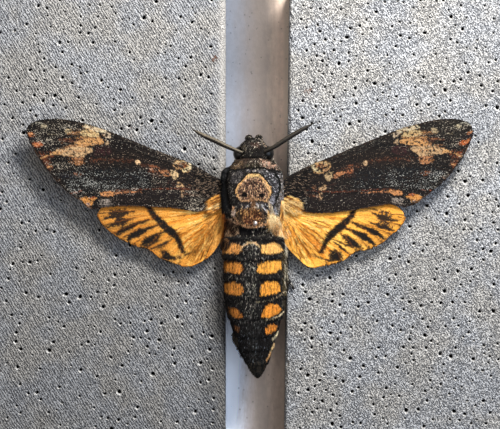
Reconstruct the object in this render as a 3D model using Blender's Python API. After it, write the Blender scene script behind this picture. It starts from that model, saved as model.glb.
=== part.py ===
"""A death's-head hawkmoth, set with open wings on an insect pin that stands in the groove of a grey foam setting board.

Life size, in metres. +Z is up, +Y points from the tail to the head, +X is the moth's right as it is seen from above.
The origin is under the middle of the board. Each part of the body is a closed solid out to the tips of its fur and
scales, and neighbours keep a gap of GAP.
"""

import math

import bmesh
import bpy
from mathutils import Vector

MM = 0.001
GAP = 0.3 * MM  # kept between pieces that touch on the real thing

# Setting board, a length cut to fit the specimen
BOARD_WIDTH = 132.0 * MM
BOARD_LENGTH = 114.0 * MM
BASE_THICK = 16.0 * MM
PANEL_TOP = 28.0 * MM
GROOVE_LEFT = -6.25 * MM
GROOVE_RIGHT_FRONT = 10.55 * MM  # the groove narrows a little towards the tail
GROOVE_RIGHT_REAR = 9.25 * MM
CHAMFER_LEFT = 1.1 * MM
CHAMFER_RIGHT = 0.4 * MM

# Insect pin
PIN_X, PIN_Y = 1.24 * MM, -2.10 * MM
PIN_RADIUS = 0.30 * MM
PIN_HEAD_RADIUS = 0.60 * MM
PIN_POINT_Z = 12.0 * MM
PIN_TOP_Z = 46.0 * MM
PIN_HOLE_RADIUS = 0.60 * MM
PIN_HOLE_DEPTH = 5.0 * MM

# Wings
WING_THICK = 0.50 * MM
WING_LEVEL = 32.0 * MM  # middle of the two layers, at the roots
WING_LAYERS = 0.86 * MM  # from the middle of the hindwing to the middle of the forewing over it
ROOT_X = {"left": -7.80 * MM, "right": 9.45 * MM}
TIP_RISE = {"left": 1.0, "right": -0.6}  # mm, from root to tip
COSTA_LIFT = 0.7  # mm, front edge of the forewing over the rear one
HIND_DROOP = 1.1  # mm, at the outer margin of the hindwing
WING_STATIONS, WING_CHORD = 19, 6

# Wing plans: (out from the middle line of the board, towards the head) in mm, from root to tip
FOREWING_FRONT = {
    "left": [(-7.6, 9.0), (-12.4, 11.5), (-19.8, 14.8), (-27.2, 17.4), (-34.6, 20.4), (-42.0, 22.8), (-47.0, 23.6), (-50.7, 23.5), (-53.1, 22.9), (-54.6, 21.9), (-55.0, 21.0)],
    "right": [(8.9, 9.3), (12.4, 11.0), (19.8, 14.2), (27.2, 17.2), (34.6, 20.1), (42.0, 22.4), (47.0, 23.6), (50.7, 23.6), (53.2, 22.9), (54.6, 21.8), (55.0, 21.0)],
}
FOREWING_REAR = {
    "left": [(-7.6, 0.9), (-11.6, 1.0), (-19.8, 2.0), (-29.7, 2.3), (-37.1, 1.9), (-40.3, 2.0), (-44.5, 5.1), (-48.0, 8.5), (-51.7, 13.5), (-54.0, 18.2), (-55.0, 20.2)],
    "right": [(9.4, 0.6), (13.3, 1.0), (17.3, 0.6), (24.7, 1.1), (34.6, 2.7), (38.8, 2.1), (43.3, 4.6), (48.2, 8.5), (52.4, 14.1), (54.1, 17.7), (55.0, 20.2)],
}
HINDWING_FRONT = {
    "left": [(-7.6, 2.2), (-15.0, 3.6), (-24.0, 3.8), (-32.0, 3.2), (-36.0, 2.4), (-37.6, 1.4)],
    "right": [(9.4, 2.2), (16.0, 3.6), (24.0, 3.8), (31.0, 3.6), (35.0, 2.9), (38.3, 0.6)],
}
HINDWING_REAR = {
    "left": [(-7.6, -7.2), (-9.0, -9.5), (-12.6, -12.0), (-16.3, -12.6), (-22.2, -10.8), (-28.4, -7.5), (-34.0, -4.6), (-36.4, -2.6), (-37.6, -0.4)],
    "right": [(9.4, -8.1), (12.9, -12.3), (16.1, -13.1), (22.5, -11.6), (28.4, -8.8), (33.8, -6.1), (36.6, -2.9), (37.9, -1.8), (38.3, -0.4)],
}

# Body sections from front to rear, in mm:
# (y, middle x, half width, top z, z of the widest level, underside z)
HEAD = [(18.7, 1.0, 1.5, 32.9, 31.2, 29.2), (18.1, 0.95, 2.5, 33.9, 31.4, 28.3), (17.0, 0.75, 3.5, 35.2, 31.7, 27.5), (15.9, 0.85, 4.3, 36.1, 31.9, 27.0), (15.0, 0.9, 4.6, 36.6, 32.0, 26.8), (14.0, 0.9, 4.5, 36.8, 32.0, 26.8)]
COLLAR = [(13.7, 0.9, 4.55, 37.0, 32.0, 26.4), (12.9, 1.0, 5.4, 37.5, 32.0, 25.7), (12.1, 1.05, 5.95, 37.8, 32.0, 25.2), (11.5, 1.1, 6.2, 38.0, 32.0, 24.9)]
THORAX = [(11.2, 0.85, 6.9, 38.1, 32.0, 24.4), (10.2, 0.8, 7.5, 38.5, 32.0, 24.0), (8.5, 0.62, 7.88, 38.8, 32.0, 23.6), (5.0, 0.60, 8.05, 39.1, 32.0, 23.2), (1.0, 0.65, 7.98, 38.9, 32.0, 23.2), (-1.5, 0.8, 7.6, 38.3, 32.0, 23.6), (-3.3, 0.85, 7.3, 37.7, 32.0, 24.0)]
METATHORAX = [(-3.65, 0.85, 7.3, 37.6, 32.0, 24.1), (-5.5, 0.95, 7.5, 37.5, 31.9, 24.3)]
ABDOMEN_FRONT, ABDOMEN_TIP = -5.85, -40.4
ABDOMEN = [(-5.85, 1.0, 7.7, 37.5, 31.9, 24.3), (-10.0, 1.15, 8.0, 37.9, 31.8, 23.9), (-15.5, 1.2, 7.95, 37.9, 31.6, 23.7), (-21.0, 1.25, 7.8, 37.3, 31.4, 23.8), (-25.5, 1.3, 6.9, 36.3, 31.2, 24.4), (-30.0, 1.45, 5.4, 34.9, 31.0, 25.6), (-34.0, 1.6, 4.1, 33.7, 30.7, 26.9), (-37.5, 1.75, 2.6, 32.4, 30.4, 28.2), (-40.1, 1.9, 0.9, 31.1, 30.2, 29.3)]
ABDOMEN_RINGS = [-10.6, -15.5, -20.5, -25.3, -29.6, -33.2, -36.6]  # rear edge of each segment
RING_STEP = 0.30  # mm, how far the fringe of a segment stands over the next one

# Shoulder lappets, parted from the thorax: (inner edge x, y) in mm
TEGULA_EDGE = {
    "left": [(-4.9, 12.5), (-5.5, 9.0), (-5.9, 6.0), (-5.6, 3.6), (-4.9, 1.4), (-5.6, -0.6)],
    "right": [(6.5, 12.5), (7.1, 9.0), (7.5, 6.2), (7.2, 3.9), (6.4, 1.6), (6.9, -0.8)],
}
TEGULA_FLOOR_Z = 32.4 * MM

# Head parts
EYE_RADII = (1.50, 1.50, 1.95)  # mm
EYE_AT = {"left": (-2.42, 14.75, 31.4), "right": (4.16, 14.85, 31.4)}
PALP_X = {"left": -0.25, "right": 2.20}
PALP_PATH = [(15.4, 26.6), (17.0, 26.3), (18.4, 27.5), (18.85, 29.6), (18.8, 31.6), (18.6, 33.2)]  # (y, z)
PALP_RADII = [0.55, 0.90, 1.00, 1.00, 0.98, 0.60]
ANTENNA_PATH = {
    "left": [(-1.7, 15.1, 34.3), (-3.7, 15.9, 34.9), (-6.15, 16.9, 35.3), (-8.6, 18.1, 35.3), (-11.05, 19.2, 35.2), (-13.2, 20.4, 35.1), (-14.5, 21.25, 35.0)],
    "right": [(3.3, 15.4, 34.3), (4.3, 16.1, 34.8), (6.2, 17.1, 35.2), (8.6, 18.7, 35.3), (11.05, 20.2, 35.3), (13.2, 21.35, 35.2), (15.4, 22.65, 35.0)],
}
ANTENNA_RADII = [0.34, 0.46, 0.53, 0.54, 0.50, 0.42, 0.25]

# Legs, folded under the body: (x, y, z) in mm from hip to claw
LEG_PATH = {
    "leg_fore_left": [(-0.6, 9.6, 23.6), (-2.6, 12.0, 21.4), (-3.6, 13.8, 20.2), (-3.3, 11.0, 18.6), (-2.7, 7.6, 17.6), (-2.1, 4.6, 17.0)],
    "leg_fore_right": [(2.4, 9.6, 23.6), (4.6, 12.0, 21.4), (5.6, 13.8, 20.2), (5.3, 11.0, 18.6), (4.7, 7.6, 17.6), (4.0, 4.6, 17.0)],
    "leg_mid_left": [(-1.6, 4.9, 22.5), (-3.6, 5.4, 20.4), (-5.0, 4.0, 19.6), (-4.6, 0.0, 18.6), (-4.0, -4.6, 18.0), (-3.4, -9.4, 17.6)],
    "leg_mid_right": [(3.2, 4.9, 22.5), (5.6, 5.4, 20.4), (7.2, 4.0, 19.6), (6.8, 0.0, 18.6), (6.2, -4.6, 18.0), (5.6, -9.4, 17.6)],
    "leg_hind_left": [(-1.2, -1.0, 22.6), (-3.4, -2.4, 21.2), (-4.8, -4.8, 20.8), (-4.7, -10.5, 21.0), (-4.2, -16.0, 20.6), (-3.2, -22.0, 20.2)],
    "leg_hind_right": [(3.2, -1.0, 22.6), (6.0, -2.6, 21.6), (7.6, -5.0, 22.2), (8.1, -10.0, 25.6), (9.25, -15.4, 28.85), (10.9, -18.5, 28.8)],
}
LEG_RADII = [0.62, 0.66, 0.56, 0.48, 0.36, 0.26]


def clear():
    for thing in list(bpy.data.objects):
        bpy.data.objects.remove(thing, do_unlink=True)


def material(name, colour, roughness, metallic=0.0):
    made = bpy.data.materials.new(name)
    made.use_nodes = True
    shader = made.node_tree.nodes["Principled BSDF"]
    shader.inputs["Base Color"].default_value = (*colour, 1.0)
    shader.inputs["Roughness"].default_value = roughness
    shader.inputs["Metallic"].default_value = metallic
    return made


def add(name, bm, finish=None):
    """A new object from bm, with its faces turned outwards."""
    bmesh.ops.recalc_face_normals(bm, faces=bm.faces)
    if bm.calc_volume(signed=True) < 0:
        bmesh.ops.reverse_faces(bm, faces=bm.faces)
    mesh = bpy.data.meshes.new(name)
    bm.to_mesh(mesh)
    bm.free()
    thing = bpy.data.objects.new(name, mesh)
    bpy.context.scene.collection.objects.link(thing)
    if finish:
        mesh.materials.append(finish)
        mesh.shade_smooth()
        mesh.set_sharp_from_angle(angle=math.radians(40))
    return thing


def cutter(name, bm):
    thing = add(name, bm)
    thing.hide_render = True
    thing.display_type = "WIRE"
    return thing


def boolean(thing, other, operation):
    step = thing.modifiers.new(other.name, "BOOLEAN")
    step.operation = operation
    step.object = other
    step.solver = "EXACT"


def spline(points, count):
    """count points along a smooth curve through points, evenly spread between the first and the last."""
    points = [Vector(p) for p in points]
    ends = [points[0] * 2 - points[1], *points, points[-1] * 2 - points[-2]]
    fine = []
    for i in range(len(points) - 1):
        a, b, c, d = ends[i : i + 4]
        for k in range(12):
            t = k / 12
            fine.append(
                0.5 * ((2 * b) + (c - a) * t + (2 * a - 5 * b + 4 * c - d) * t * t + (3 * b - a - 3 * c + d) * t**3)
            )
    fine.append(points[-1])
    run = [0.0]
    for p, q in zip(fine, fine[1:]):
        run.append(run[-1] + (q - p).length)
    out, k = [], 0
    for i in range(count):
        want = run[-1] * i / (count - 1)
        while k < len(fine) - 2 and run[k + 1] < want:
            k += 1
        share = (want - run[k]) / max(run[k + 1] - run[k], 1e-12)
        out.append(fine[k].lerp(fine[k + 1], min(1.0, max(0.0, share))))
    return out


def rows(stations, at, key=0):
    """The station values at one place, read from a smooth curve through the stations (Hermite, no overshoot)."""
    keys = [s[key] for s in stations]
    sign = 1 if keys[-1] > keys[0] else -1
    at = min(max(at * sign, keys[0] * sign), keys[-1] * sign) * sign
    i = 0
    while i < len(keys) - 2 and at * sign > keys[i + 1] * sign:
        i += 1
    span = keys[i + 1] - keys[i]
    t = (at - keys[i]) / span
    found = []
    for c in range(len(stations[0])):
        v = [s[c] for s in stations]

        def slope(j):
            if j in (0, len(v) - 1):
                k = min(j, len(v) - 2)
                return (v[k + 1] - v[k]) / (keys[k + 1] - keys[k])
            before = (v[j] - v[j - 1]) / (keys[j] - keys[j - 1])
            after = (v[j + 1] - v[j]) / (keys[j + 1] - keys[j])
            return 0.0 if before * after <= 0 else 2 * before * after / (before + after)

        m0, m1 = slope(i) * span, slope(i + 1) * span
        found.append(
            (2 * t**3 - 3 * t**2 + 1) * v[i] + (t**3 - 2 * t**2 + t) * m0 + (3 * t**2 - 2 * t**3) * v[i + 1] + (t**3 - t**2) * m1
        )
    return found


def skinned(rings):
    """A closed mesh over rings of equally many points, with flat ends."""
    bm = bmesh.new()
    loops = [[bm.verts.new(p) for p in ring] for ring in rings]
    for a, b in zip(loops, loops[1:]):
        for i in range(len(a)):
            j = (i + 1) % len(a)
            bm.faces.new((a[i], a[j], b[j], b[i]))
    bm.faces.new(loops[0])
    bm.faces.new(list(reversed(loops[-1])))
    return bm


def section(y, x, half, top, side, low, around, upper=2.15, lower=1.62, grow=0.0):
    """One cross-section of the body in the XZ plane: round above its widest level, keeled below it."""
    ring = []
    for i in range(around):
        a = 2 * math.pi * i / around
        c, s = math.cos(a), math.sin(a)
        power = upper if s >= 0 else lower
        reach = (top - side) if s >= 0 else (side - low)
        ring.append(
            (
                (x + (half + grow) * math.copysign(abs(c) ** (2 / power), c)) * MM,
                y * MM,
                (side + (reach + grow) * math.copysign(abs(s) ** (2 / power), s)) * MM,
            )
        )
    return ring


def lofted(stations, count, around, grow=0.0):
    first, last = stations[0][0], stations[-1][0]
    rings = []
    for i in range(count):
        y, x, half, top, side, low = rows(stations, first + (last - first) * i / (count - 1))
        rings.append(section(y, x, half, top, side, low, around, grow=grow))
    return skinned(rings)


def tube(points, radii, count, around, grow=0.0):
    """A tapered round limb along a smooth path, in mm."""
    path = spline(points, count)
    rings = []
    side = None
    for i, p in enumerate(path):
        ahead = (path[min(i + 1, count - 1)] - path[max(i - 1, 0)]).normalized()
        if side is None:
            side = Vector((0, 0, 1)) if abs(ahead.z) < 0.7 else Vector((1, 0, 0))
        side = (side - ahead * side.dot(ahead)).normalized()  # carried along, so the tube never twists
        up = side.cross(ahead)
        where = i / (count - 1) * (len(radii) - 1)
        k = min(int(where), len(radii) - 2)
        radius = radii[k] + (radii[k + 1] - radii[k]) * (where - k) + grow
        rings.append(
            [
                (p + side * radius * math.cos(2 * math.pi * j / around) + up * radius * math.sin(2 * math.pi * j / around)) * MM
                for j in range(around)
            ]
        )
    return skinned(rings)


def prism(outline, low, high):
    bm = bmesh.new()
    bottom = [bm.verts.new((x, y, low)) for x, y in outline]
    top = [bm.verts.new((x, y, high)) for x, y in outline]
    bm.faces.new(list(reversed(bottom)))
    bm.faces.new(top)
    for i in range(len(outline)):
        j = (i + 1) % len(outline)
        bm.faces.new((bottom[i], bottom[j], top[j], top[i]))
    return bm


def extruded(profile, y_front, y_rear):
    """An outline in the XZ plane, given for the front end and for the rear end."""
    return skinned([[(x, y_front, z) for x, z in profile[0]], [(x, y_rear, z) for x, z in profile[1]]])


def ball(radii, centre, segments=16, rings=10):
    bm = bmesh.new()
    bmesh.ops.create_uvsphere(bm, u_segments=segments, v_segments=rings, radius=1.0)
    bmesh.ops.scale(bm, vec=Vector(radii), verts=bm.verts)
    bmesh.ops.translate(bm, vec=Vector(centre), verts=bm.verts)
    return bm


def turned(profile, centre, around):
    """A solid turned about an upright axis from (radius, z) rows, with a point at each end."""
    bm = bmesh.new()
    low = bm.verts.new((centre[0], centre[1], profile[0][1]))
    high = bm.verts.new((centre[0], centre[1], profile[-1][1]))
    loops = []
    for radius, z in profile[1:-1]:
        loops.append(
            [
                bm.verts.new((centre[0] + radius * math.cos(2 * math.pi * j / around), centre[1] + radius * math.sin(2 * math.pi * j / around), z))
                for j in range(around)
            ]
        )
    for j in range(around):
        k = (j + 1) % around
        bm.faces.new((low, loops[0][k], loops[0][j]))
        bm.faces.new((high, loops[-1][j], loops[-1][k]))
        for a, b in zip(loops, loops[1:]):
            bm.faces.new((a[j], a[k], b[k], b[j]))
    return bm


def wing_level(side, x, y):
    """Height of the middle of the wing layers over a place of the plan, in mm."""
    out = abs(x - ROOT_X[side] / MM)
    span = 47.4
    share = min(1.0, out / span)
    level = WING_LEVEL / MM + TIP_RISE[side] * share**1.4
    level += COSTA_LIFT * (y - 6.0) / 17.0 * share
    level += 0.35 * math.sin(math.pi * share)
    behind = max(0.0, 2.0 - y) / 15.0
    return level - HIND_DROOP * behind**1.3 * (0.35 + 0.65 * min(1.0, out / 25.0))


def wing(name, side, front, rear, layer, finish):
    """A thin bent plate between the front edge and the rear edge of a wing's plan."""
    root, tip = front[0][0], front[-1][0]
    start = ROOT_X[side] / MM
    top, bottom = [], []
    for i in range(WING_STATIONS):
        share = math.sin(0.5 * math.pi * i / (WING_STATIONS - 1))
        share = 0.35 * i / (WING_STATIONS - 1) + 0.65 * share
        x = start + (tip - start) * share
        ahead, behind = rows(front, x)[1], rows(rear, x)[1]
        for line, lift in ((top, 0.5), (bottom, -0.5)):
            line.append(
                [
                    Vector((x, y, wing_level(side, x, y) + layer + lift * WING_THICK / MM)) * MM
                    for y in (ahead + (behind - ahead) * k / WING_CHORD for k in range(WING_CHORD + 1))
                ]
            )
    bm = bmesh.new()
    tops = [[bm.verts.new(p) for p in line] for line in top]
    lows = [[bm.verts.new(p) for p in line] for line in bottom]
    last = WING_STATIONS - 1
    for i in range(last):
        for k in range(WING_CHORD):
            bm.faces.new((tops[i][k], tops[i][k + 1], tops[i + 1][k + 1], tops[i + 1][k]))
            bm.faces.new((lows[i][k], lows[i + 1][k], lows[i + 1][k + 1], lows[i][k + 1]))
        for k in (0, WING_CHORD):
            bm.faces.new((tops[i][k], tops[i + 1][k], lows[i + 1][k], lows[i][k]))
    for i in (0, last):
        for k in range(WING_CHORD):
            bm.faces.new((tops[i][k], tops[i][k + 1], lows[i][k + 1], lows[i][k]))
    return add(name, bm, finish)


def board(foam):
    half_w, half_l = BOARD_WIDTH / 2, BOARD_LENGTH / 2
    base = add("board_base", prism([(-half_w, -half_l), (half_w, -half_l), (half_w, half_l), (-half_w, half_l)], 0.0, BASE_THICK), foam)
    hole = cutter(
        "pin_hole_in_base",
        turned(
            [(0, BASE_THICK - PIN_HOLE_DEPTH), (PIN_HOLE_RADIUS, BASE_THICK - PIN_HOLE_DEPTH + 0.2 * MM), (PIN_HOLE_RADIUS, BASE_THICK + 1 * MM), (0, BASE_THICK + 1.2 * MM)],
            (PIN_X, PIN_Y),
            12,
        ),
    )
    boolean(base, hole, "DIFFERENCE")
    low = BASE_THICK + GAP

    def profile(inner, outer, chamfer):
        return [
            (outer, low),
            (inner, low),
            (inner, PANEL_TOP - abs(chamfer)),
            (inner + chamfer, PANEL_TOP),
            (outer, PANEL_TOP),
        ]

    left = profile(GROOVE_LEFT, -half_w, -CHAMFER_LEFT)
    add("board_panel_left", extruded((left, left), half_l, -half_l), foam)
    add(
        "board_panel_right",
        extruded((profile(GROOVE_RIGHT_FRONT, half_w, CHAMFER_RIGHT), profile(GROOVE_RIGHT_REAR, half_w, CHAMFER_RIGHT)), half_l, -half_l),
        foam,
    )


def pin(steel):
    neck = PIN_TOP_Z - 0.75 * MM
    profile = [
        (0, PIN_POINT_Z),
        (0.06 * MM, PIN_POINT_Z + 0.05 * MM),
        (PIN_RADIUS, PIN_POINT_Z + 2.4 * MM),
        (PIN_RADIUS, neck),
        (PIN_HEAD_RADIUS * 0.85, neck + 0.08 * MM),
        (PIN_HEAD_RADIUS, neck + 0.30 * MM),
        (PIN_HEAD_RADIUS * 0.85, PIN_TOP_Z - 0.20 * MM),
        (PIN_HEAD_RADIUS * 0.45, PIN_TOP_Z - 0.04 * MM),
        (0, PIN_TOP_Z),
    ]
    add("pin", turned(profile, (PIN_X, PIN_Y), 12), steel)


def abdomen(fur):
    """Seven plates that each stand a little over the next one, down to the blunt tip."""
    edges = [ABDOMEN_FRONT, *ABDOMEN_RINGS, ABDOMEN_TIP + 0.3]
    rings = []
    for n, (front, rear) in enumerate(zip(edges, edges[1:])):
        shares = (0.0, 0.45, 0.9) if n < len(edges) - 2 else (0.0, 0.35, 0.7, 1.0)
        for share in shares:
            y = front + (rear - front) * share
            _, x, half, top, side, low = rows(ABDOMEN, y)
            step = RING_STEP * (share if n < len(edges) - 2 else 0.0) - (RING_STEP * 0.5 if n else 0.0)
            step *= min(1.0, half / 4.0)
            rings.append(section(y, x, half, top, side, low, 20, lower=1.7, grow=step - 0.15))
    add("abdomen", skinned(rings), fur)


def head(fur, shine, horn):
    whole = add("head", lofted(HEAD, 7, 20), fur)
    neck = add("collar", lofted(COLLAR, 4, 20), fur)
    for side in ("left", "right"):
        centre = Vector(EYE_AT[side]) * MM
        add(f"eye_{side}", ball(Vector(EYE_RADII) * MM, centre), shine)
        socket = cutter(f"socket_{side}", ball([r * MM + GAP for r in EYE_RADII], centre))
        boolean(whole, socket, "DIFFERENCE")
        boolean(neck, socket, "DIFFERENCE")
        path = [(PALP_X[side], y, z) for y, z in PALP_PATH]
        add(f"palp_{side}", tube(path, PALP_RADII, 10, 10), fur)
        boolean(whole, cutter(f"palp_room_{side}", tube(path, PALP_RADII, 10, 10, grow=0.3)), "DIFFERENCE")
        add(f"antenna_{side}", tube(ANTENNA_PATH[side], ANTENNA_RADII, 17, 8), horn)
        boolean(whole, cutter(f"antenna_room_{side}", tube(ANTENNA_PATH[side][:3], ANTENNA_RADII[:3], 8, 8, grow=0.3)), "DIFFERENCE")


def thorax(fur):
    whole = add("thorax", lofted(THORAX, 10, 24), fur)
    for side, sign in (("left", -1), ("right", 1)):
        edge = spline([(x, y, 0) for x, y in TEGULA_EDGE[side]], 9)
        far = 14.0 * sign

        def region(shift):
            return [((p.x + sign * shift) * MM, p.y * MM) for p in edge] + [(far * MM, edge[-1].y * MM), (far * MM, edge[0].y * MM)]

        lappet = add(f"tegula_{side}", lofted(THORAX, 10, 24), fur)
        keep = cutter(f"tegula_keep_{side}", prism(region(0.3), TEGULA_FLOOR_Z + GAP, 60 * MM))
        boolean(lappet, keep, "INTERSECT")
        shape = region(0.0)
        rear = edge[-1].y * MM - GAP
        shape[-2] = (far * MM, rear)
        shape.insert(len(edge), (shape[len(edge) - 1][0], rear))
        boolean(whole, cutter(f"tegula_room_{side}", prism(shape, TEGULA_FLOOR_Z, 61 * MM)), "DIFFERENCE")
    bore = cutter("pin_bore", turned([(0, 18 * MM), (PIN_HOLE_RADIUS, 18.2 * MM), (PIN_HOLE_RADIUS, 44 * MM), (0, 44.2 * MM)], (PIN_X, PIN_Y), 12))
    boolean(whole, bore, "DIFFERENCE")
    add("metathorax", lofted(METATHORAX, 3, 20), fur)


def main():
    clear()
    foam = material("grey_foam", (0.42, 0.41, 0.40), 0.95)
    steel = material("pin_steel", (0.62, 0.60, 0.58), 0.30, 1.0)
    fur = material("dark_fur", (0.045, 0.035, 0.030), 0.85)
    yellow_fur = material("banded_fur", (0.30, 0.15, 0.04), 0.85)
    dark_wing = material("forewing_scales", (0.055, 0.045, 0.045), 0.80)
    yellow_wing = material("hindwing_scales", (0.70, 0.33, 0.06), 0.75)
    shine = material("eye_cuticle", (0.020, 0.014, 0.012), 0.20)
    horn = material("antenna_cuticle", (0.10, 0.085, 0.060), 0.55)
    limb = material("leg_cuticle", (0.045, 0.035, 0.028), 0.60)
    board(foam)
    pin(steel)
    head(fur, shine, horn)
    thorax(fur)
    abdomen(yellow_fur)
    for side in ("left", "right"):
        wing(f"forewing_{side}", side, FOREWING_FRONT[side], FOREWING_REAR[side], WING_LAYERS / MM / 2, dark_wing)
        wing(f"hindwing_{side}", side, HINDWING_FRONT[side], HINDWING_REAR[side], -WING_LAYERS / MM / 2, yellow_wing)
    for name, path in LEG_PATH.items():
        add(name, tube(path, LEG_RADII, 15, 7), limb)


main()
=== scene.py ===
"""The looks of a set death's-head hawkmoth: skin, coat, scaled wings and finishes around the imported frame.

Lengths in the shape code are in millimetres and are turned into metres when a mesh is made. Markings are laid out on a
plan of the specimen: UNIT is one step of that plan, with its middle at (250, 214.5), u to the moth's right and v to
its tail. Every shade comes from soft shapes on that plan and from seeded noise.
"""

import math

import bmesh
import bpy
import numpy as np
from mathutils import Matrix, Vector, geometry
from mathutils.bvhtree import BVHTree


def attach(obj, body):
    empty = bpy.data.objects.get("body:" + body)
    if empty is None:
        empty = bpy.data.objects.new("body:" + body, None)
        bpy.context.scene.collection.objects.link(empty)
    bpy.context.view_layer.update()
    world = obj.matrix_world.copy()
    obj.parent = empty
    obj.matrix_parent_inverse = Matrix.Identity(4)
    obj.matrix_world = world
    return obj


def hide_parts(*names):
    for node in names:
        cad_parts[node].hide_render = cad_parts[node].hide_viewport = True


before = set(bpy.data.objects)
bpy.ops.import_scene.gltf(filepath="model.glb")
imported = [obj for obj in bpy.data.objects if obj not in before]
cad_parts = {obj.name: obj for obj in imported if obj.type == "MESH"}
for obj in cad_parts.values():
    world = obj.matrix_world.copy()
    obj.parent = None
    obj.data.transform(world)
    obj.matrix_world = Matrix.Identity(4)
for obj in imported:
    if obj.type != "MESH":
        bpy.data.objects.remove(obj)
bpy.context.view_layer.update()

MM = 0.001
UNIT = 0.2472  # mm
rng = np.random.default_rng(7331)

# ---------------------------------------------------------------------------------------------------------------------
# Small tools


def lin(r, g, b):
    """Linear colour from everyday 0-255 values."""
    c = np.array([r, g, b], float) / 255.0
    return np.where(c <= 0.04045, c / 12.92, ((c + 0.055) / 1.055) ** 2.4)


def smooth(low, high, x):
    t = np.clip((x - low) / (high - low), 0.0, 1.0)
    return t * t * (3 - 2 * t)


def lattice(ix, iy, iz, seed):
    n = (ix * 1619 + iy * 31337 + iz * 6971 + seed * 1013) & 0x7FFFFFFF
    n = (n >> 13) ^ n
    n = (n * ((n * n * 60493 + 19990303) & 0x7FFFFFFF) + 1376312589) & 0x7FFFFFFF
    return n / float(0x7FFFFFFF)


def noise(x, y, z=0.0, seed=0):
    """Smooth value noise, 0 to 1, one cell per unit."""
    x, y, z = np.broadcast_arrays(np.asarray(x, float), np.asarray(y, float), np.asarray(z, float))
    ix, iy, iz = (np.floor(a).astype(np.int64) for a in (x, y, z))
    fx, fy, fz = x - ix, y - iy, z - iz
    fx, fy, fz = (f * f * (3 - 2 * f) for f in (fx, fy, fz))
    total = 0.0
    for dx in (0, 1):
        for dy in (0, 1):
            for dz in (0, 1):
                w = (fx if dx else 1 - fx) * (fy if dy else 1 - fy) * (fz if dz else 1 - fz)
                total = total + w * lattice(ix + dx, iy + dy, iz + dz, seed)
    return total


def fbm(x, y, z=0.0, octaves=3, seed=0):
    x, y, z = np.asarray(x, float), np.asarray(y, float), np.asarray(z, float)
    total, weight, size = 0.0, 0.0, 1.0
    for k in range(octaves):
        total = total + size * noise(x * 2.03**k, y * 2.03**k, z * 2.03**k, seed + 17 * k)
        weight += size
        size *= 0.55
    return total / weight


def pchip(points, at):
    """A smooth curve through (key, value) rows with no overshoot, read at many places."""
    points = sorted(points)
    x = np.array([p[0] for p in points], float)
    y = np.array([p[1] for p in points], float)
    h = np.diff(x)
    d = np.diff(y) / h
    m = np.zeros(len(x))
    same = d[:-1] * d[1:] > 0
    w1, w2 = 2 * h[1:] + h[:-1], h[1:] + 2 * h[:-1]
    with np.errstate(divide="ignore", invalid="ignore"):
        m[1:-1] = np.where(same, (w1 + w2) / (w1 / d[:-1] + w2 / d[1:]), 0.0)
    m[0], m[-1] = d[0], d[-1]
    at = np.clip(np.asarray(at, float), x[0], x[-1])
    i = np.clip(np.searchsorted(x, at) - 1, 0, len(h) - 1)
    t = (at - x[i]) / h[i]
    return (2 * t**3 - 3 * t**2 + 1) * y[i] + (t**3 - 2 * t**2 + t) * h[i] * m[i] + (3 * t**2 - 2 * t**3) * y[i + 1] + (t**3 - t**2) * h[i] * m[i + 1]


def to_path(u, v, points):
    """Distance from each place to a polyline, and how far along it (0 to 1) the nearest point is."""
    best = np.full(np.shape(u), 1e9)
    where = np.zeros(np.shape(u))
    n = len(points) - 1
    for i in range(n):
        ax, ay = points[i][:2]
        bx, by = points[i + 1][:2]
        dx, dy = bx - ax, by - ay
        t = np.clip(((u - ax) * dx + (v - ay) * dy) / (dx * dx + dy * dy + 1e-12), 0, 1)
        d = np.hypot(u - ax - t * dx, v - ay - t * dy)
        near = d < best
        best = np.where(near, d, best)
        where = np.where(near, (i + t) / n, where)
    return best, where


def to_shape(u, v, points):
    """Signed distance to a closed outline, negative inside."""
    d, _ = to_path(u, v, list(points) + [points[0]])
    inside = np.zeros(np.shape(u), bool)
    for (ax, ay), (bx, by) in zip(points, list(points[1:]) + [points[0]]):
        if ay == by:
            continue
        cross = ((ay > v) != (by > v)) & (u < (bx - ax) * (v - ay) / (by - ay) + ax)
        inside ^= cross
    return np.where(inside, -d, d)


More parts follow.
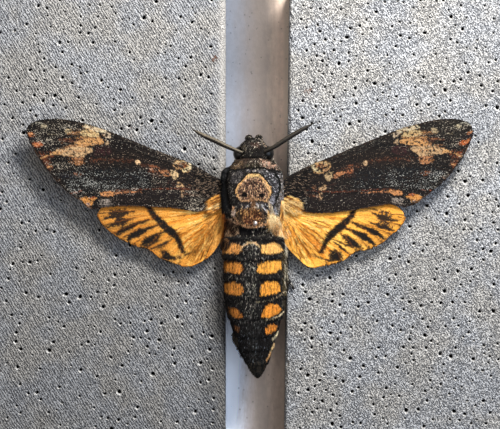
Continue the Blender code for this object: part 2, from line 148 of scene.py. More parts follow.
class Marks:
    """Shades laid over places of the plan. Each mark has a soft, broken edge, as scales of two colours meet."""

    def __init__(self, u, v, base, wobble=0.9, grain=0.55, seed=1):
        self.u0, self.v0 = np.asarray(u, float), np.asarray(v, float)
        self.u = self.u0 + wobble * (fbm(u * 0.31, v * 0.31, seed, 2, seed) - 0.5) * 2.2
        self.v = self.v0 + wobble * (fbm(u * 0.31, v * 0.31, seed + 9, 2, seed + 5) - 0.5) * 2.2
        clumps = noise(u * 0.80, v * 0.80, seed * 3.1, seed + 11) * 0.6 + noise(u * 1.9, v * 1.9, seed, seed + 23) * 0.4
        self.dice = np.clip(0.5 + (clumps - 0.5) * 2.3, 0.02, 0.98)
        self.grain = grain
        self.colour = np.tile(np.asarray(base, float), (len(self.u), 1))
        self.done = np.zeros(len(self.u))

    def lay(self, mask, colour, strength=1.0, grain=None):
        grain = self.grain if grain is None else grain
        mask = np.clip(np.broadcast_to(mask, self.dice.shape), 0, 1) * strength
        if grain > 0:
            blend = min(1.0, grain * 1.7)
            mask = mask * (1 - blend) + blend * smooth(self.dice - 0.12, self.dice + 0.12, mask * 1.08) * (mask > 0.01)
        mask = mask[:, None]
        colour = np.asarray(colour, float)
        self.colour = self.colour * (1 - mask) + colour * mask
        return mask[:, 0]

    def shape(self, points, colour, soft=1.0, strength=1.0, grain=None, grow=0.0):
        d = to_shape(self.u, self.v, points)
        return self.lay(smooth(soft, -soft, d - grow), colour, strength, grain)

    def blob(self, u, v, ru, rv, colour, soft=0.35, angle=0.0, strength=1.0, grain=None):
        c, s = math.cos(math.radians(angle)), math.sin(math.radians(angle))
        du, dv = self.u - u, self.v - v
        d = np.hypot((du * c + dv * s) / ru, (-du * s + dv * c) / rv)
        return self.lay(smooth(1 + soft, 1 - soft, d), colour, strength, grain)

    def line(self, points, half, colour, soft=0.5, strength=1.0, grain=None, fine=False):
        """half is a half width, or one for each point."""
        u, v = (self.u0, self.v0) if fine else (self.u, self.v)
        d, t = to_path(u, v, points)
        if not np.isscalar(half):
            half = np.interp(t, np.linspace(0, 1, len(half)), half)
        return self.lay(smooth(soft, -soft, d - half), colour, strength, grain)


def link(mesh_or_bm, name):
    if isinstance(mesh_or_bm, bmesh.types.BMesh):
        mesh = bpy.data.meshes.new(name)
        mesh_or_bm.to_mesh(mesh)
        mesh_or_bm.free()
    else:
        mesh = mesh_or_bm
    thing = bpy.data.objects.new(name, mesh)
    bpy.context.scene.collection.objects.link(thing)
    return thing


def build(name, points, faces, uv=None, shades=None, smooth_faces=True):
    """A mesh from points in mm and index arrays of triangles or quads. uv has a row per corner, shades a row per point."""
    mesh = bpy.data.meshes.new(name)
    faces = [np.asarray(f, np.int32) for f in (faces if isinstance(faces, list) else [faces]) if len(f)]
    points = np.asarray(points, np.float32) * MM
    mesh.vertices.add(len(points))
    mesh.vertices.foreach_set("co", points.ravel())
    corners = np.concatenate([f.ravel() for f in faces])
    sizes = np.concatenate([np.full(len(f), f.shape[1], np.int32) for f in faces])
    starts = np.concatenate([[0], np.cumsum(sizes)[:-1]]).astype(np.int32)
    mesh.loops.add(len(corners))
    mesh.loops.foreach_set("vertex_index", corners)
    mesh.polygons.add(len(sizes))
    mesh.polygons.foreach_set("loop_start", starts)
    if uv is not None:
        layer = mesh.uv_layers.new(name="OFBake")
        layer.data.foreach_set("uv", np.asarray(uv, np.float32).ravel())
    for key, rows in (shades or {}).items():
        rows = np.asarray(rows, np.float32)
        if rows.shape[1] == 3:
            rows = np.concatenate([rows, np.ones((len(rows), 1), np.float32)], 1)
        layer = mesh.color_attributes.new(key, "FLOAT_COLOR", "POINT")
        layer.data.foreach_set("color", np.ascontiguousarray(rows, np.float32).ravel())
    mesh.update(calc_edges=True)
    mesh.polygons.foreach_set("use_smooth", np.full(len(sizes), smooth_faces))
    mesh.update()
    return link(mesh, name)


def grid_faces(rows, columns, offset=0, flip=False, wrap=False):
    """Quads over a grid of points stored row by row."""
    i = np.arange(rows - 1)[:, None] * columns
    span = columns if wrap else columns - 1
    j = np.arange(span)[None, :]
    k = (j + 1) % columns
    a, b, c, d = i + j, i + k, i + columns + k, i + columns + j
    quads = np.stack([a, b, c, d], -1).reshape(-1, 4) + offset
    return quads[:, ::-1] if flip else quads


# ---------------------------------------------------------------------------------------------------------------------
# Finishes


class Finish:
    """A node-based material, built up with short calls."""

    def __init__(self, name, roughness=0.8, metallic=0.0, specular=0.3, sheen=0.0, sheen_roughness=0.5, coat=0.0, coat_roughness=0.1, ior=1.5, sheen_tint=(1, 1, 1)):
        self.material = bpy.data.materials.new(name)
        self.material.use_nodes = True
        self.tree = self.material.node_tree
        self.shader = self.tree.nodes["Principled BSDF"]
        for key, value in {
            "Roughness": roughness,
            "Metallic": metallic,
            "Specular IOR Level": specular,
            "Sheen Weight": sheen,
            "Sheen Roughness": sheen_roughness,
            "Coat Weight": coat,
            "Coat Roughness": coat_roughness,
            "IOR": ior,
        }.items():
            self.shader.inputs[key].default_value = value
        self.shader.inputs["Sheen Tint"].default_value = (*sheen_tint, 1)

    def node(self, kind, inputs=None, **settings):
        made = self.tree.nodes.new(kind)
        for key, value in settings.items():
            setattr(made, key, value)
        for key, value in (inputs or {}).items():
            if isinstance(value, bpy.types.NodeSocket):
                self.tree.links.new(value, made.inputs[key])
            else:
                made.inputs[key].default_value = value
        return made

    def place(self, scale=(1, 1, 1), turn=(0, 0, 0)):
        """Object coordinates in mm, scaled and turned."""
        where = self.node("ShaderNodeTexCoord").outputs["Object"]
        return self.node("ShaderNodeMapping", {"Vector": where, "Scale": tuple(1000.0 * s for s in scale), "Rotation": turn}).outputs[0]

    def slant(self, scale, angle):
        """Object coordinates turned about Z and then drawn out, so a pattern runs aslant. In mm."""
        made = self.node("ShaderNodeMapping", {"Vector": self.place(), "Rotation": (0, 0, angle), "Scale": tuple(1 / s for s in scale)}, vector_type="TEXTURE")
        return made.outputs[0]

    def noise(self, place, scale=1.0, detail=2.0, rough=0.5, distortion=0.0):
        return self.node("ShaderNodeTexNoise", {"Vector": place, "Scale": scale, "Detail": detail, "Roughness": rough, "Distortion": distortion}).outputs["Fac"]

    def wave(self, place, scale=1.0, distortion=4.0, detail=2.0, detail_scale=1.0):
        return self.node("ShaderNodeTexWave", {"Vector": place, "Scale": scale, "Distortion": distortion, "Detail": detail, "Detail Scale": detail_scale}, wave_type="BANDS", bands_direction="X", wave_profile="SIN").outputs["Fac"]

    def cells(self, place, scale=1.0, feature="F1", output="Distance", random=1.0):
        made = self.node("ShaderNodeTexVoronoi", feature=feature)
        self.tree.links.new(place, made.inputs["Vector"])
        made.inputs["Scale"].default_value = scale
        made.inputs["Randomness"].default_value = random
        return made.outputs[output]

    def curve(self, value, low, high, to_low=0.0, to_high=1.0, kind="SMOOTHSTEP"):
        made = self.node("ShaderNodeMapRange", interpolation_type=kind)
        made.inputs["From Min"].default_value = low
        made.inputs["From Max"].default_value = high
        made.inputs["To Min"].default_value = to_low
        made.inputs["To Max"].default_value = to_high
        self.tree.links.new(value, made.inputs["Value"])
        return made.outputs[0]

    def maths(self, what, a, b=0.0, c=None):
        made = self.node("ShaderNodeMath", operation=what)
        for i, value in enumerate((a, b) if c is None else (a, b, c)):
            if isinstance(value, bpy.types.NodeSocket):
                self.tree.links.new(value, made.inputs[i])
            else:
                made.inputs[i].default_value = value
        return made.outputs[0]

    def mix(self, factor, a, b, blend="MIX"):
        made = self.node("ShaderNodeMix", data_type="RGBA", blend_type=blend, clamp_result=False)
        for key, value in ((0, factor), (6, a), (7, b)):
            if isinstance(value, bpy.types.NodeSocket):
                self.tree.links.new(value, made.inputs[key])
            else:
                made.inputs[key].default_value = value if np.isscalar(value) else (*value, 1.0)
        return made.outputs[2]

    def shade(self, name):
        made = self.node("ShaderNodeVertexColor")
        made.layer_name = name
        return made.outputs["Color"], made.outputs["Alpha"]

    def colour(self, value):
        self.tree.links.new(value, self.shader.inputs["Base Color"])

    def roughness(self, value):
        self.tree.links.new(value, self.shader.inputs["Roughness"])

    def bump(self, *heights):
        """Each height is (socket, strength, distance in mm), stacked."""
        last = None
        for socket, strength, distance in heights:
            made = self.node("ShaderNodeBump", {"Height": socket, "Strength": strength, "Distance": distance * MM})
            if last is not None:
                self.tree.links.new(last, made.inputs["Normal"])
            last = made.outputs[0]
        self.tree.links.new(last, self.shader.inputs["Normal"])


# ---------------------------------------------------------------------------------------------------------------------
# Wings

WING_LEVEL, LAYER = 32.0, 0.43
ROOT_X = {"left": -7.80, "right": 9.45}
TIP_RISE = {"left": 1.0, "right": -0.6}
FORE_FRONT = {
    "left": [(228, 183), (218, 178), (210, 174), (200, 168.3), (190, 163.3), (180, 159), (170, 155.3), (160, 151.5), (150, 148), (140, 143.8), (130, 139.6), (120, 135.6), (110, 131.6), (100, 128.3), (90, 124.9), (80, 122.2), (70, 120.4), (60, 119.2), (50, 119.1), (40, 120.6), (35, 122.1), (31, 124.2), (28.6, 126.6), (27.3, 130.0)],
    "right": [(276, 185), (284, 179.5), (290, 175), (300, 170), (310, 165), (320, 161), (330, 157), (340, 153), (350, 148.6), (360, 144.6), (370, 140.4), (380, 136.7), (390, 132.6), (400, 128.8), (410, 125.8), (420, 123.3), (430, 120.9), (440, 119.2), (450, 118.6), (460, 119.6), (467, 121.9), (471, 124.8), (472.4, 127.6), (473.0, 130.6)],
}
FORE_REAR = {
    "left": [(228, 196), (219, 199), (212, 204), (206, 208.5), (198, 211.2), (190, 210.2), (180, 208.4), (170, 207.2), (150, 206.2), (130, 205.4), (110, 206.2), (100, 207.3), (94, 208.2), (90, 207.4), (87, 206), (81, 200.4), (75, 196.6), (70, 193.6), (65, 189.4), (56, 179.8), (48, 169.8), (41, 159.6), (36, 151), (33, 145.6), (30, 138.8), (28.2, 134), (27.3, 130.2)],
    "right": [(276, 196), (284, 201), (292, 207), (300, 210.4), (310, 212), (320, 212.6), (330, 212.2), (340, 211.2), (350, 210), (360, 208.4), (370, 206.6), (380, 205), (390, 203.6), (398, 205), (405, 206.6), (410, 205.4), (415, 203), (420, 200.2), (425, 196.4), (432, 191.2), (438, 186.4), (445, 180), (449, 175.6), (453, 170), (457, 165), (462, 157.6), (466, 150), (469, 143), (471, 138), (472.6, 133), (473.0, 130.8)],
}
HIND_FRONT = {
    "left": [(228, 207), (218, 205), (190, 200.5), (153, 199.4), (120, 201.8), (108, 204.6), (102, 207.2), (99.4, 210), (98.2, 212.4)],
    "right": [(276, 207), (288, 205.6), (315, 200.4), (352, 199.4), (375, 200.2), (388, 202.6), (397, 206.2), (401.6, 209.6), (404.2, 213.2), (405.0, 216.6)],
}
HIND_REAR = {
    "left": [(228, 217), (226, 221), (224, 227), (222, 233), (220, 240), (217, 246), (213, 252), (209, 256.4), (205, 259.4), (200, 262), (195, 264.4), (190, 266), (185, 266), (180, 265), (175, 263.3), (170, 262), (165, 260.4), (160, 258), (155, 254), (150, 250.3), (145, 248), (140, 246.8), (135, 245.4), (130, 243), (126, 241), (120, 238.6), (116, 236), (112, 233.2), (107, 229), (103, 225), (100, 219.6), (98.4, 215.6), (98.2, 212.8)],
    "right": [(276, 222), (281.5, 234), (283.5, 240), (286, 245), (290, 250), (294, 254), (298, 258), (302, 262), (306, 265), (310, 266.6), (315, 267.2), (320, 266.2), (331, 264.2), (337, 263), (341, 261.6), (346, 259), (350, 256), (355, 252.2), (360, 250.4), (370, 249), (375, 246.4), (380, 244), (384, 242), (387, 239.2), (391, 235.2), (395, 232), (398, 230), (401, 226.4), (403.6, 222), (404.8, 218.6), (405.0, 217)],
}
FORE_VEINS = [
    ([(222, 183), (190, 166.5), (160, 154.5), (120, 138.5), (104, 132.5)], 1.0),
    ([(222, 186), (200, 174.5), (175, 163.5), (150, 155.5), (128, 146), (105, 136.5), (85, 129)], 1.0),
    ([(128, 146), (95, 135), (62, 125), (40, 122)], 0.7),
    ([(118, 144.5), (85, 136), (55, 129.5), (30, 131)], 0.7),
    ([(140, 158), (110, 149), (75, 143), (31, 139)], 0.7),
    ([(139, 163), (110, 156), (80, 151), (55, 152.5), (38, 157)], 0.8),
    ([(142, 167.5), (110, 165), (80, 165), (47, 169.5)], 0.7),
    ([(148, 169), (115, 174), (85, 179.5), (57, 181)], 0.7),
    ([(160, 173), (130, 181), (100, 188.5), (70, 194)], 0.8),
    ([(222, 190), (190, 180), (165, 174), (145, 168), (139, 163)], 1.0),
    ([(222, 193), (190, 189.4), (150, 189.2), (115, 191.5), (88, 199)], 0.9),
    ([(215, 198), (185, 199), (150, 200.5), (115, 203.5), (94, 207.5)], 0.7),
]
HIND_ENDS = {
    "left": [(99, 213), (103.5, 225), (112.5, 233.4), (121, 239), (133, 244.6), (146, 248.4), (161, 258.4), (178, 264.6), (205, 259.4)],
    "right": [(404.6, 215), (402, 225), (391.5, 234.6), (383, 242.4), (370, 248.8), (357, 251.4), (342, 261.2), (327, 265), (300, 260)],
}
HIND_BASE = {"left": (224, 210), "right": (280, 210)}
HIND_FORK = {
    "left": [(165, 209), (160, 213), (156, 216), (156, 217), (161, 223), (165, 228), (172, 235), (182, 243), (205, 235)],
    "right": [(340, 209), (345, 213), (349, 217), (349, 218), (344, 223), (339, 229), (331, 237), (322, 244), (297, 237)],
}


def wing_level(side, x, y):
    out = np.abs(x - ROOT_X[side])
    share = np.minimum(1.0, out / 47.4)
    level = WING_LEVEL + TIP_RISE[side] * share**1.4 + 0.7 * (y - 6.0) / 17.0 * share + 0.35 * np.sin(math.pi * share)
    behind = np.maximum(0.0, 2.0 - y) / 15.0
    return level - 1.1 * behind**1.3 * (0.35 + 0.65 * np.minimum(1.0, out / 25.0))


def to_mm(u, v, k=0.998):
    return (np.asarray(u, float) - 250.0) * UNIT * k, (214.5 - np.asarray(v, float)) * UNIT * k


def to_plan(x, y, k=0.998):
    return 250.0 + np.asarray(x, float) / (UNIT * k), 214.5 - np.asarray(y, float) / (UNIT * k)


def as_left_forewing(side, u, v):
    """The same place of the left forewing, by its share of the chord."""
    if side == "left":
        return u, v
    over = 503.4 - u
    share = (v - pchip(FORE_FRONT["right"], u)) / np.maximum(1e-3, pchip(FORE_REAR["right"], u) - pchip(FORE_FRONT["right"], u))
    front, rear = pchip(FORE_FRONT["left"], over), pchip(FORE_REAR["left"], over)
    return over, front + share * (rear - front)


def streaks(u, v, origin, along=0.05, across=9.0, seed=0):
    """Noise drawn out along lines from an origin, as hair and veins run."""
    r = np.hypot(u - origin[0], v - origin[1])
    a = np.arctan2(v - origin[1], u - origin[0])
    return noise(r * along, a * across * 8, 0, seed)


def forewing_shades(side, u, v):
    """Upper side of a forewing: the ground and its markings, and the pale dust of scales over it."""
    u, v = as_left_forewing(side, u, v)
    seed = 3 if side == "left" else 41
    m = Marks(u, v, lin(14, 12, 12), seed=seed)
    long_noise = fbm(u * 0.045, v * 0.22, seed, 3, seed + 2)
    across = noise(u * 0.10, v * 0.95, seed, seed + 4)
    # ground: warm towards the body and in the middle, blue-grey along the rear half
    m.shape([(225, 176), (180, 158), (150, 150), (110, 146), (84, 150), (84, 168), (150, 172), (225, 205)], lin(24, 18, 15), 7, 0.8, 0.3)
    m.shape([(150, 168), (84, 166), (56, 172), (72, 194), (104, 190), (150, 188)], lin(19, 20, 22), 4, 0.8, 0.3)
    m.shape([(210, 193), (150, 190), (118, 194), (98, 206), (150, 206), (205, 209)], lin(26, 18, 17), 2.5, 0.9, 0.3)
    m.lay(smooth(0.50, 0.75, long_noise), lin(56, 38, 27), 0.30)
    m.lay(smooth(0.52, 0.40, across), lin(8, 7, 8), 0.55)
    # outer third
    m.shape([(50, 120), (90, 126), (84, 138), (60, 140), (34, 140), (30, 130)], lin(28, 26, 22), 3, 0.8, 0.3)
    m.shape([(96, 145), (112, 147), (112, 154), (100, 157), (90, 155), (92, 150)], lin(48, 24, 26), 1.5, 0.9)
    m.line([(88, 160), (100, 161), (120, 160), (136, 161), (146, 166)], [3, 3.6, 3.4, 3.0, 3.6], lin(98, 56, 36), 2.4, 0.46)
    m.blob(158, 172, 12, 6, lin(92, 56, 40), 0.6, -6, 0.48)
    m.blob(168, 184, 16, 5, lin(72, 46, 38), 0.6, 0, 0.45)
    m.line([(60, 170.5), (85, 171), (112, 170), (136, 169.5)], [1.2, 1.9, 2.0, 1.4], lin(17, 18, 21), 1.2, 0.9, 0.3)
    m.line([(92, 180), (118, 178.5), (150, 177)], [1.4, 1.9, 1.2], lin(18, 18, 22), 1.2, 0.85, 0.3)
    m.line([(62, 175.5), (74, 177)], [2.2, 1.6], lin(25, 27, 36), 1.2, 0.85, 0.3)
    m.line([(150, 195), (175, 197), (196, 200)], [3.0, 3.4, 2.0], lin(24, 19, 20), 1.5, 0.7, 0.3)
    m.line([(120, 136), (150, 148), (175, 158)], [1.2, 1.6, 1.2], lin(38, 36, 33), 1.0, 0.6)
    # pale patch that runs in from the outer front edge
    cream = dict(soft=1.2)
    m.shape([(72, 130), (84, 130), (90, 134), (84, 137), (74, 137), (66, 134)], lin(120, 88, 60), 1.6, 0.8)
    m.shape([(70, 144), (84, 144), (90, 147), (74, 150), (62, 148)], lin(165, 120, 82), 1.8, 0.85)
    m.shape([(56, 150.6), (64, 148.6), (73, 147), (82, 146.4), (91, 147.6), (94, 149.4), (91, 152.4), (87, 154.6), (84, 158), (76, 157.6), (68, 156), (60, 155.4)], lin(206, 168, 124), **cream)
    m.shape([(74, 138.6), (82, 136.8), (92, 136.6), (100, 137.2), (103.6, 139.6), (103.8, 142.6), (100, 145), (92, 145.8), (84, 147), (76, 146)], lin(208, 156, 100), **cream)
    m.shape([(80, 133), (86, 129), (94, 130), (100, 133), (102.6, 136), (98, 137.4), (90, 136.6), (84, 136)], lin(226, 196, 142), **cream)
    m.shape([(86, 124.4), (94, 125.8), (103, 128.8), (108, 131), (103, 133.4), (96, 131.8), (89, 129.4), (84, 127)], lin(240, 222, 184), soft=1.0)
    m.shape([(70, 156.6), (78, 157), (85, 157), (84.6, 161), (83, 164.6), (77, 166), (72, 163)], lin(158, 108, 72), 1.3, 0.9)
    m.line([(86, 131.6), (94, 134), (101, 136.6)], 0.35, lin(140, 96, 50), 0.5, 0.75, 0)
    m.line([(84, 128.6), (94, 131.8), (104, 134.6)], 0.3, lin(120, 84, 46), 0.5, 0.8, 0)
    m.line([(74, 138.4), (88, 137.8), (101, 138)], 0.45, lin(96, 60, 34), 0.6, 0.8, 0)
    m.line([(66, 136), (80, 136)], [1.5, 0.5], lin(16, 15, 15), 0.8, 0.95, 0.3)
    m.line([(60, 140), (74, 140.6), (84, 139)], [1.6, 2.0, 0.6], lin(84, 46, 30), 1.0, 0.9)
    streak = smooth(0.56, 0.72, across) * (to_shape(u, v, [(58, 148), (72, 130), (86, 125), (106, 130), (104, 145), (92, 149), (84, 165), (72, 165)]) < 0.5)
    m.lay(streak, lin(172, 116, 68), 0.6, 0.25)
    # dark rim of the patch, and pale rings by the front edge
    m.shape([(103.5, 132.6), (107, 131.6), (110.5, 134), (111, 138), (107.5, 139.4), (104.5, 136.6)], lin(214, 190, 160), 0.9, 0.9)
    m.blob(107.3, 135.2, 1.3, 1.2, lin(60, 44, 34), 0.5)
    m.shape([(105, 139.8), (109.5, 141), (109.6, 144), (106, 145.4), (103.6, 143.4)], lin(196, 164, 128), 0.9, 0.85)
    m.line([(99.6, 132.4), (102.6, 136.4), (108, 139.4), (114, 142), (122, 146)], [0.5, 0.9, 0.9, 0.9, 0.6], lin(14, 12, 12), 0.5, 1, 0.2)
    m.line([(104.4, 139), (104.8, 143.4), (101, 145.6), (94, 146.2), (91, 147.6), (95.6, 149.6), (92.6, 152.6), (87.6, 155), (85.4, 157.6), (88.8, 159.6), (84.6, 162), (84.2, 166)], [0.7, 0.9, 1.0, 0.9, 0.9, 1.1, 0.9, 0.8, 0.8, 0.9, 0.8, 0.5], lin(15, 12, 12), 0.5, 1, 0.2)
    m.line([(40, 158.8), (46, 156.4), (52, 154), (60, 153)], [0.5, 0.9, 1.1, 1.6], lin(214, 160, 104), 0.7, 0.95, 0.3)
    m.shape([(66, 128.6), (72.6, 128.4), (73, 133), (67, 134.2), (64.6, 131.6)], lin(206, 182, 142), 1.2, 0.6, 0.95)
    m.blob(45, 126.8, 3.2, 2.4, lin(178, 164, 136), 0.5, 0, 0.8, 0.9)
    m.line([(33, 124.6), (38, 122.6), (43, 123.6)], [0.8, 1.0, 0.8], lin(160, 155, 140), 0.8, 0.75, 0.8)
    m.line([(50, 134), (60, 137), (70, 147)], [1.6, 1.6, 1.2], lin(120, 108, 86), 1.2, 0.5, 0.9)
    # rust marks along the outer margin
    m.line([(30, 138.6), (44, 139.6)], [2.2, 1.2], lin(26, 24, 30), 1.2, 0.95, 0.2)
    m.blob(32.6, 134.6, 4.6, 2.6, lin(166, 94, 48), 0.4, 4)
    m.blob(31.6, 134.0, 3.0, 1.0, lin(222, 160, 112), 0.5, 4, 0.8)
    m.blob(38, 144.6, 6.8, 2.8, lin(164, 86, 44), 0.4, -2)
    m.blob(36, 144.8, 4.0, 1.1, lin(222, 150, 98), 0.5, -2, 0.7)
    m.shape([(39, 152), (52, 151), (55, 156), (51, 160), (43, 160)], lin(112, 58, 34), 1.4, 0.9)
    m.line([(41, 158.4), (47, 156), (54, 153.6)], [0.5, 0.7, 0.9], lin(220, 166, 110), 0.6, 0.9, 0.2)
    m.shape([(43, 160.4), (52, 160.4), (54, 168), (50, 171), (47, 168.6)], lin(108, 62, 40), 1.3, 0.9)
    m.line([(46.6, 169), (51.6, 166.6)], [0.5, 0.8], lin(224, 166, 112), 0.5, 0.9, 0.2)
    m.line([(57, 181.6), (61, 179.6)], [0.4, 0.5], lin(150, 100, 70), 0.5, 0.7, 0.2)
    m.blob(78, 174.4, 6.5, 2.6, lin(126, 76, 48), 0.5, 0, 0.7)
    m.line([(70, 194.2), (75, 192.4), (82, 191)], [0.6, 0.5, 0.4], lin(158, 82, 52), 0.5, 0.9, 0.2)
    # round spot and the marks near the body
    m.blob(138, 162.6, 3.4, 3.5, lin(24, 18, 16), 0.3)
    m.blob(138, 162.6, 2.25, 2.5, lin(248, 206, 158), 0.25, 0, 1, 0.1)
    m.blob(154, 168.4, 5.2, 4.2, lin(148, 88, 56), 0.45, 20, 0.85)
    m.shape([(158, 169.6), (165, 169.8), (171, 172.6), (172, 176.4), (166, 176), (160, 174)], lin(176, 118, 78), 1.1, 0.85, 0.8)
    m.shape([(174, 161.6), (180, 159.6), (187, 160.6), (190.6, 163.6), (191.4, 168), (189.6, 172), (184, 173.8), (180, 171), (175.6, 169), (171.6, 166)], lin(176, 136, 92), 1.2, 1, 0.9)
    m.shape([(180, 169.6), (184, 172), (190.6, 170.6), (188, 167.6), (183, 167.4)], lin(232, 206, 152), 0.8)
    m.blob(181.6, 166.0, 5.4, 3.4, lin(120, 80, 52), 0.5, -20, 0.9, 0.6)
    m.line([(175, 163.4), (181, 161.2), (187, 162.0)], [0.7, 0.9, 0.6], lin(230, 200, 150), 0.7, 0.85, 0.5)
    m.line([(186.4, 170.6), (190.4, 167.4), (190.8, 163.6)], [0.8, 1.2, 1.0], lin(246, 226, 180), 0.7, 0.95, 0.4)
    m.blob(185.6, 166, 2.4, 1.6, lin(122, 66, 32), 0.4)
    m.blob(181.6, 169.3, 1.2, 1.0, lin(46, 34, 22), 0.4)
    m.blob(190, 164.0, 1.9, 1.6, lin(246, 226, 184), 0.3, 0, 1, 0.2)
    m.shape([(170.4, 170.4), (175, 170), (178.4, 173.4), (178.4, 178), (174, 179.4), (171, 175.4)], lin(206, 176, 132), 0.9, 0.9, 0.75)
    m.shape([(177.6, 181.4), (181, 182.6), (184.6, 187), (181.4, 188.6), (177, 186.4)], lin(206, 166, 122), 1.0, 0.9)
    m.blob(189, 186, 2.6, 1.6, lin(128, 88, 62), 0.5, 0, 0.7)
    m.shape([(180.6, 189.6), (184, 190.6), (184.4, 198), (181.4, 197.4)], lin(200, 162, 122), 1.0, 0.85)
    # the long rust vein line, and the orange marks behind it
    m.line([(104, 191.6), (116, 190.4), (132, 189.4), (150, 189), (175, 188.4), (198, 190)], [0.5, 0.6, 0.7, 0.7, 1.2, 0.8], lin(96, 48, 28), 0.8, 0.78, 0.5)
    m.line([(117, 193), (131, 191.8), (142, 191.6)], [1.3, 1.1, 0.5], lin(196, 132, 90), 0.9, 0.8)
    m.line([(182, 193), (198, 195)], 1.6, lin(110, 70, 48), 1.0, 0.6)
    m.shape([(100.6, 192.6), (106, 191.2), (113, 191.6), (118, 193), (113.6, 195.6), (108, 197.2), (101.6, 196.4)], lin(206, 142, 90), 1.0, 0.9, 0.75)
    m.shape([(78.6, 199.2), (84, 197.4), (92, 197), (98, 198), (93.6, 201), (92, 205), (88, 206.4), (82.6, 203)], lin(214, 146, 76), 1.0, 0.95, 0.7)
    m.blob(92, 197.6, 3.0, 1.0, lin(170, 90, 50), 0.5)
    m.blob(88.6, 204.4, 2.2, 1.2, lin(230, 190, 170), 0.5, 0, 0.8)
    m.shape([(98, 200), (103, 198.4), (113, 199.4), (112, 205), (101, 205.6)], lin(150, 138, 128), 1.5, 0.75, 0.9)
    # vein lines over the front of the wing
    for path in ([(222, 186), (200, 174.5), (175, 163.5), (150, 155.5), (128, 146)], [(160, 154.5), (140, 146.5), (120, 138.5)]):
        m.line(path, 0.35, lin(116, 112, 102), 0.5, 0.5, 0.5)
        m.line([(a, b + 1.2) for a, b in path], 0.5, lin(16, 14, 14), 0.5, 0.7, 0.2)
    m.line([(60, 119.6), (90, 125.6), (130, 140.4), (160, 152.2), (200, 169)], 0.55, lin(64, 44, 30), 0.6, 0.6, 0.4)
    edge = pchip(FORE_REAR["left"], u) - v
    m.lay(smooth(1.6, 0.2, edge) * (u < 96), lin(24, 16, 14), 0.85, 0.3)
    m.lay(smooth(1.0, 0.1, v - pchip(FORE_FRONT["left"], u)) * ((u < 84) | (u > 110)), lin(30, 24, 20), 0.7, 0.3)
    # scales of the ground show through every mark
    palest = smooth(0.16, 0.45, m.colour @ np.array([0.3, 0.5, 0.2]))
    m.lay((0.27 + 0.30 * smooth(0.5, 0.7, noise(u * 0.16, v * 0.9, 5, 88))) * (1 - 0.55 * palest), lin(26, 19, 16), 1.0, 0.6)
    m.colour *= (0.72 + 0.24 * noise(u * 0.4, v * 0.4, 1, 86))[:, None]
    # dust: how much, and of what shade
    dust = np.tile(lin(168, 158, 142), (len(u), 1))

    def tint(mask, colour):
        dust[:] = dust * (1 - mask[:, None]) + np.asarray(colour) * mask[:, None]

    tint(smooth(4, -4, to_shape(u, v, [(225, 180), (150, 152), (96, 150), (88, 166), (150, 170), (225, 206)])) * 0.65, lin(150, 118, 92))
    tint(smooth(4, -4, to_shape(u, v, [(150, 170), (84, 168), (56, 174), (72, 194), (104, 190), (150, 188)])), lin(156, 157, 152))
    tint(smooth(3, -3, to_shape(u, v, [(150, 191), (118, 195), (98, 206), (150, 206)])), lin(150, 134, 124))
    amount = 0.10 + 0.55 * (long_noise - 0.5) + 0.30 * (across - 0.5)
    amount = amount - 0.16 * smooth(5, -3, to_shape(u, v, [(150, 148), (112, 134), (106, 148), (96, 158), (120, 162), (150, 160)]))
    amount = amount + 0.16 * smooth(5, -3, to_shape(u, v, [(150, 171), (84, 166), (56, 166), (72, 194), (104, 190), (150, 189)]))
    amount = amount + 0.14 * smooth(3, -3, to_shape(u, v, [(34, 124), (60, 121), (80, 126), (70, 138), (46, 150), (34, 140)]))
    amount = amount - 0.25 * smooth(1.2, -1.2, to_path(u, v, [(60, 170.5), (112, 170), (136, 169.5)])[0] - 1.8)
    amount = amount - 0.25 * smooth(1.2, -1.2, to_path(u, v, [(92, 180), (118, 178.5), (150, 177)])[0] - 1.8)
    amount = amount - 0.20 * smooth(3, -3, to_shape(u, v, [(225, 172), (190, 160), (150, 150), (150, 166), (190, 176), (225, 190)])) * (0.0 if side == "left" else 1.0)
    if side == "right":
        amount = amount - 0.10 - 0.18 * smooth(80, 150, u) - 0.20 * smooth(170, 205, u)
    else:
        amount = amount + 0.28 * smooth(180, 200, u) * smooth(184, 194, v)
    bright = m.colour @ np.array([0.3, 0.5, 0.2])
    m.colour *= (1 - (0.46 if side == "right" else 0.12) * smooth(0.16, 0.45, bright))[:, None]
    amount = amount * (1 - smooth(0.08, 0.35, bright))
    return m.colour, np.concatenate([dust, np.clip(amount, 0, 1)[:, None]], 1)


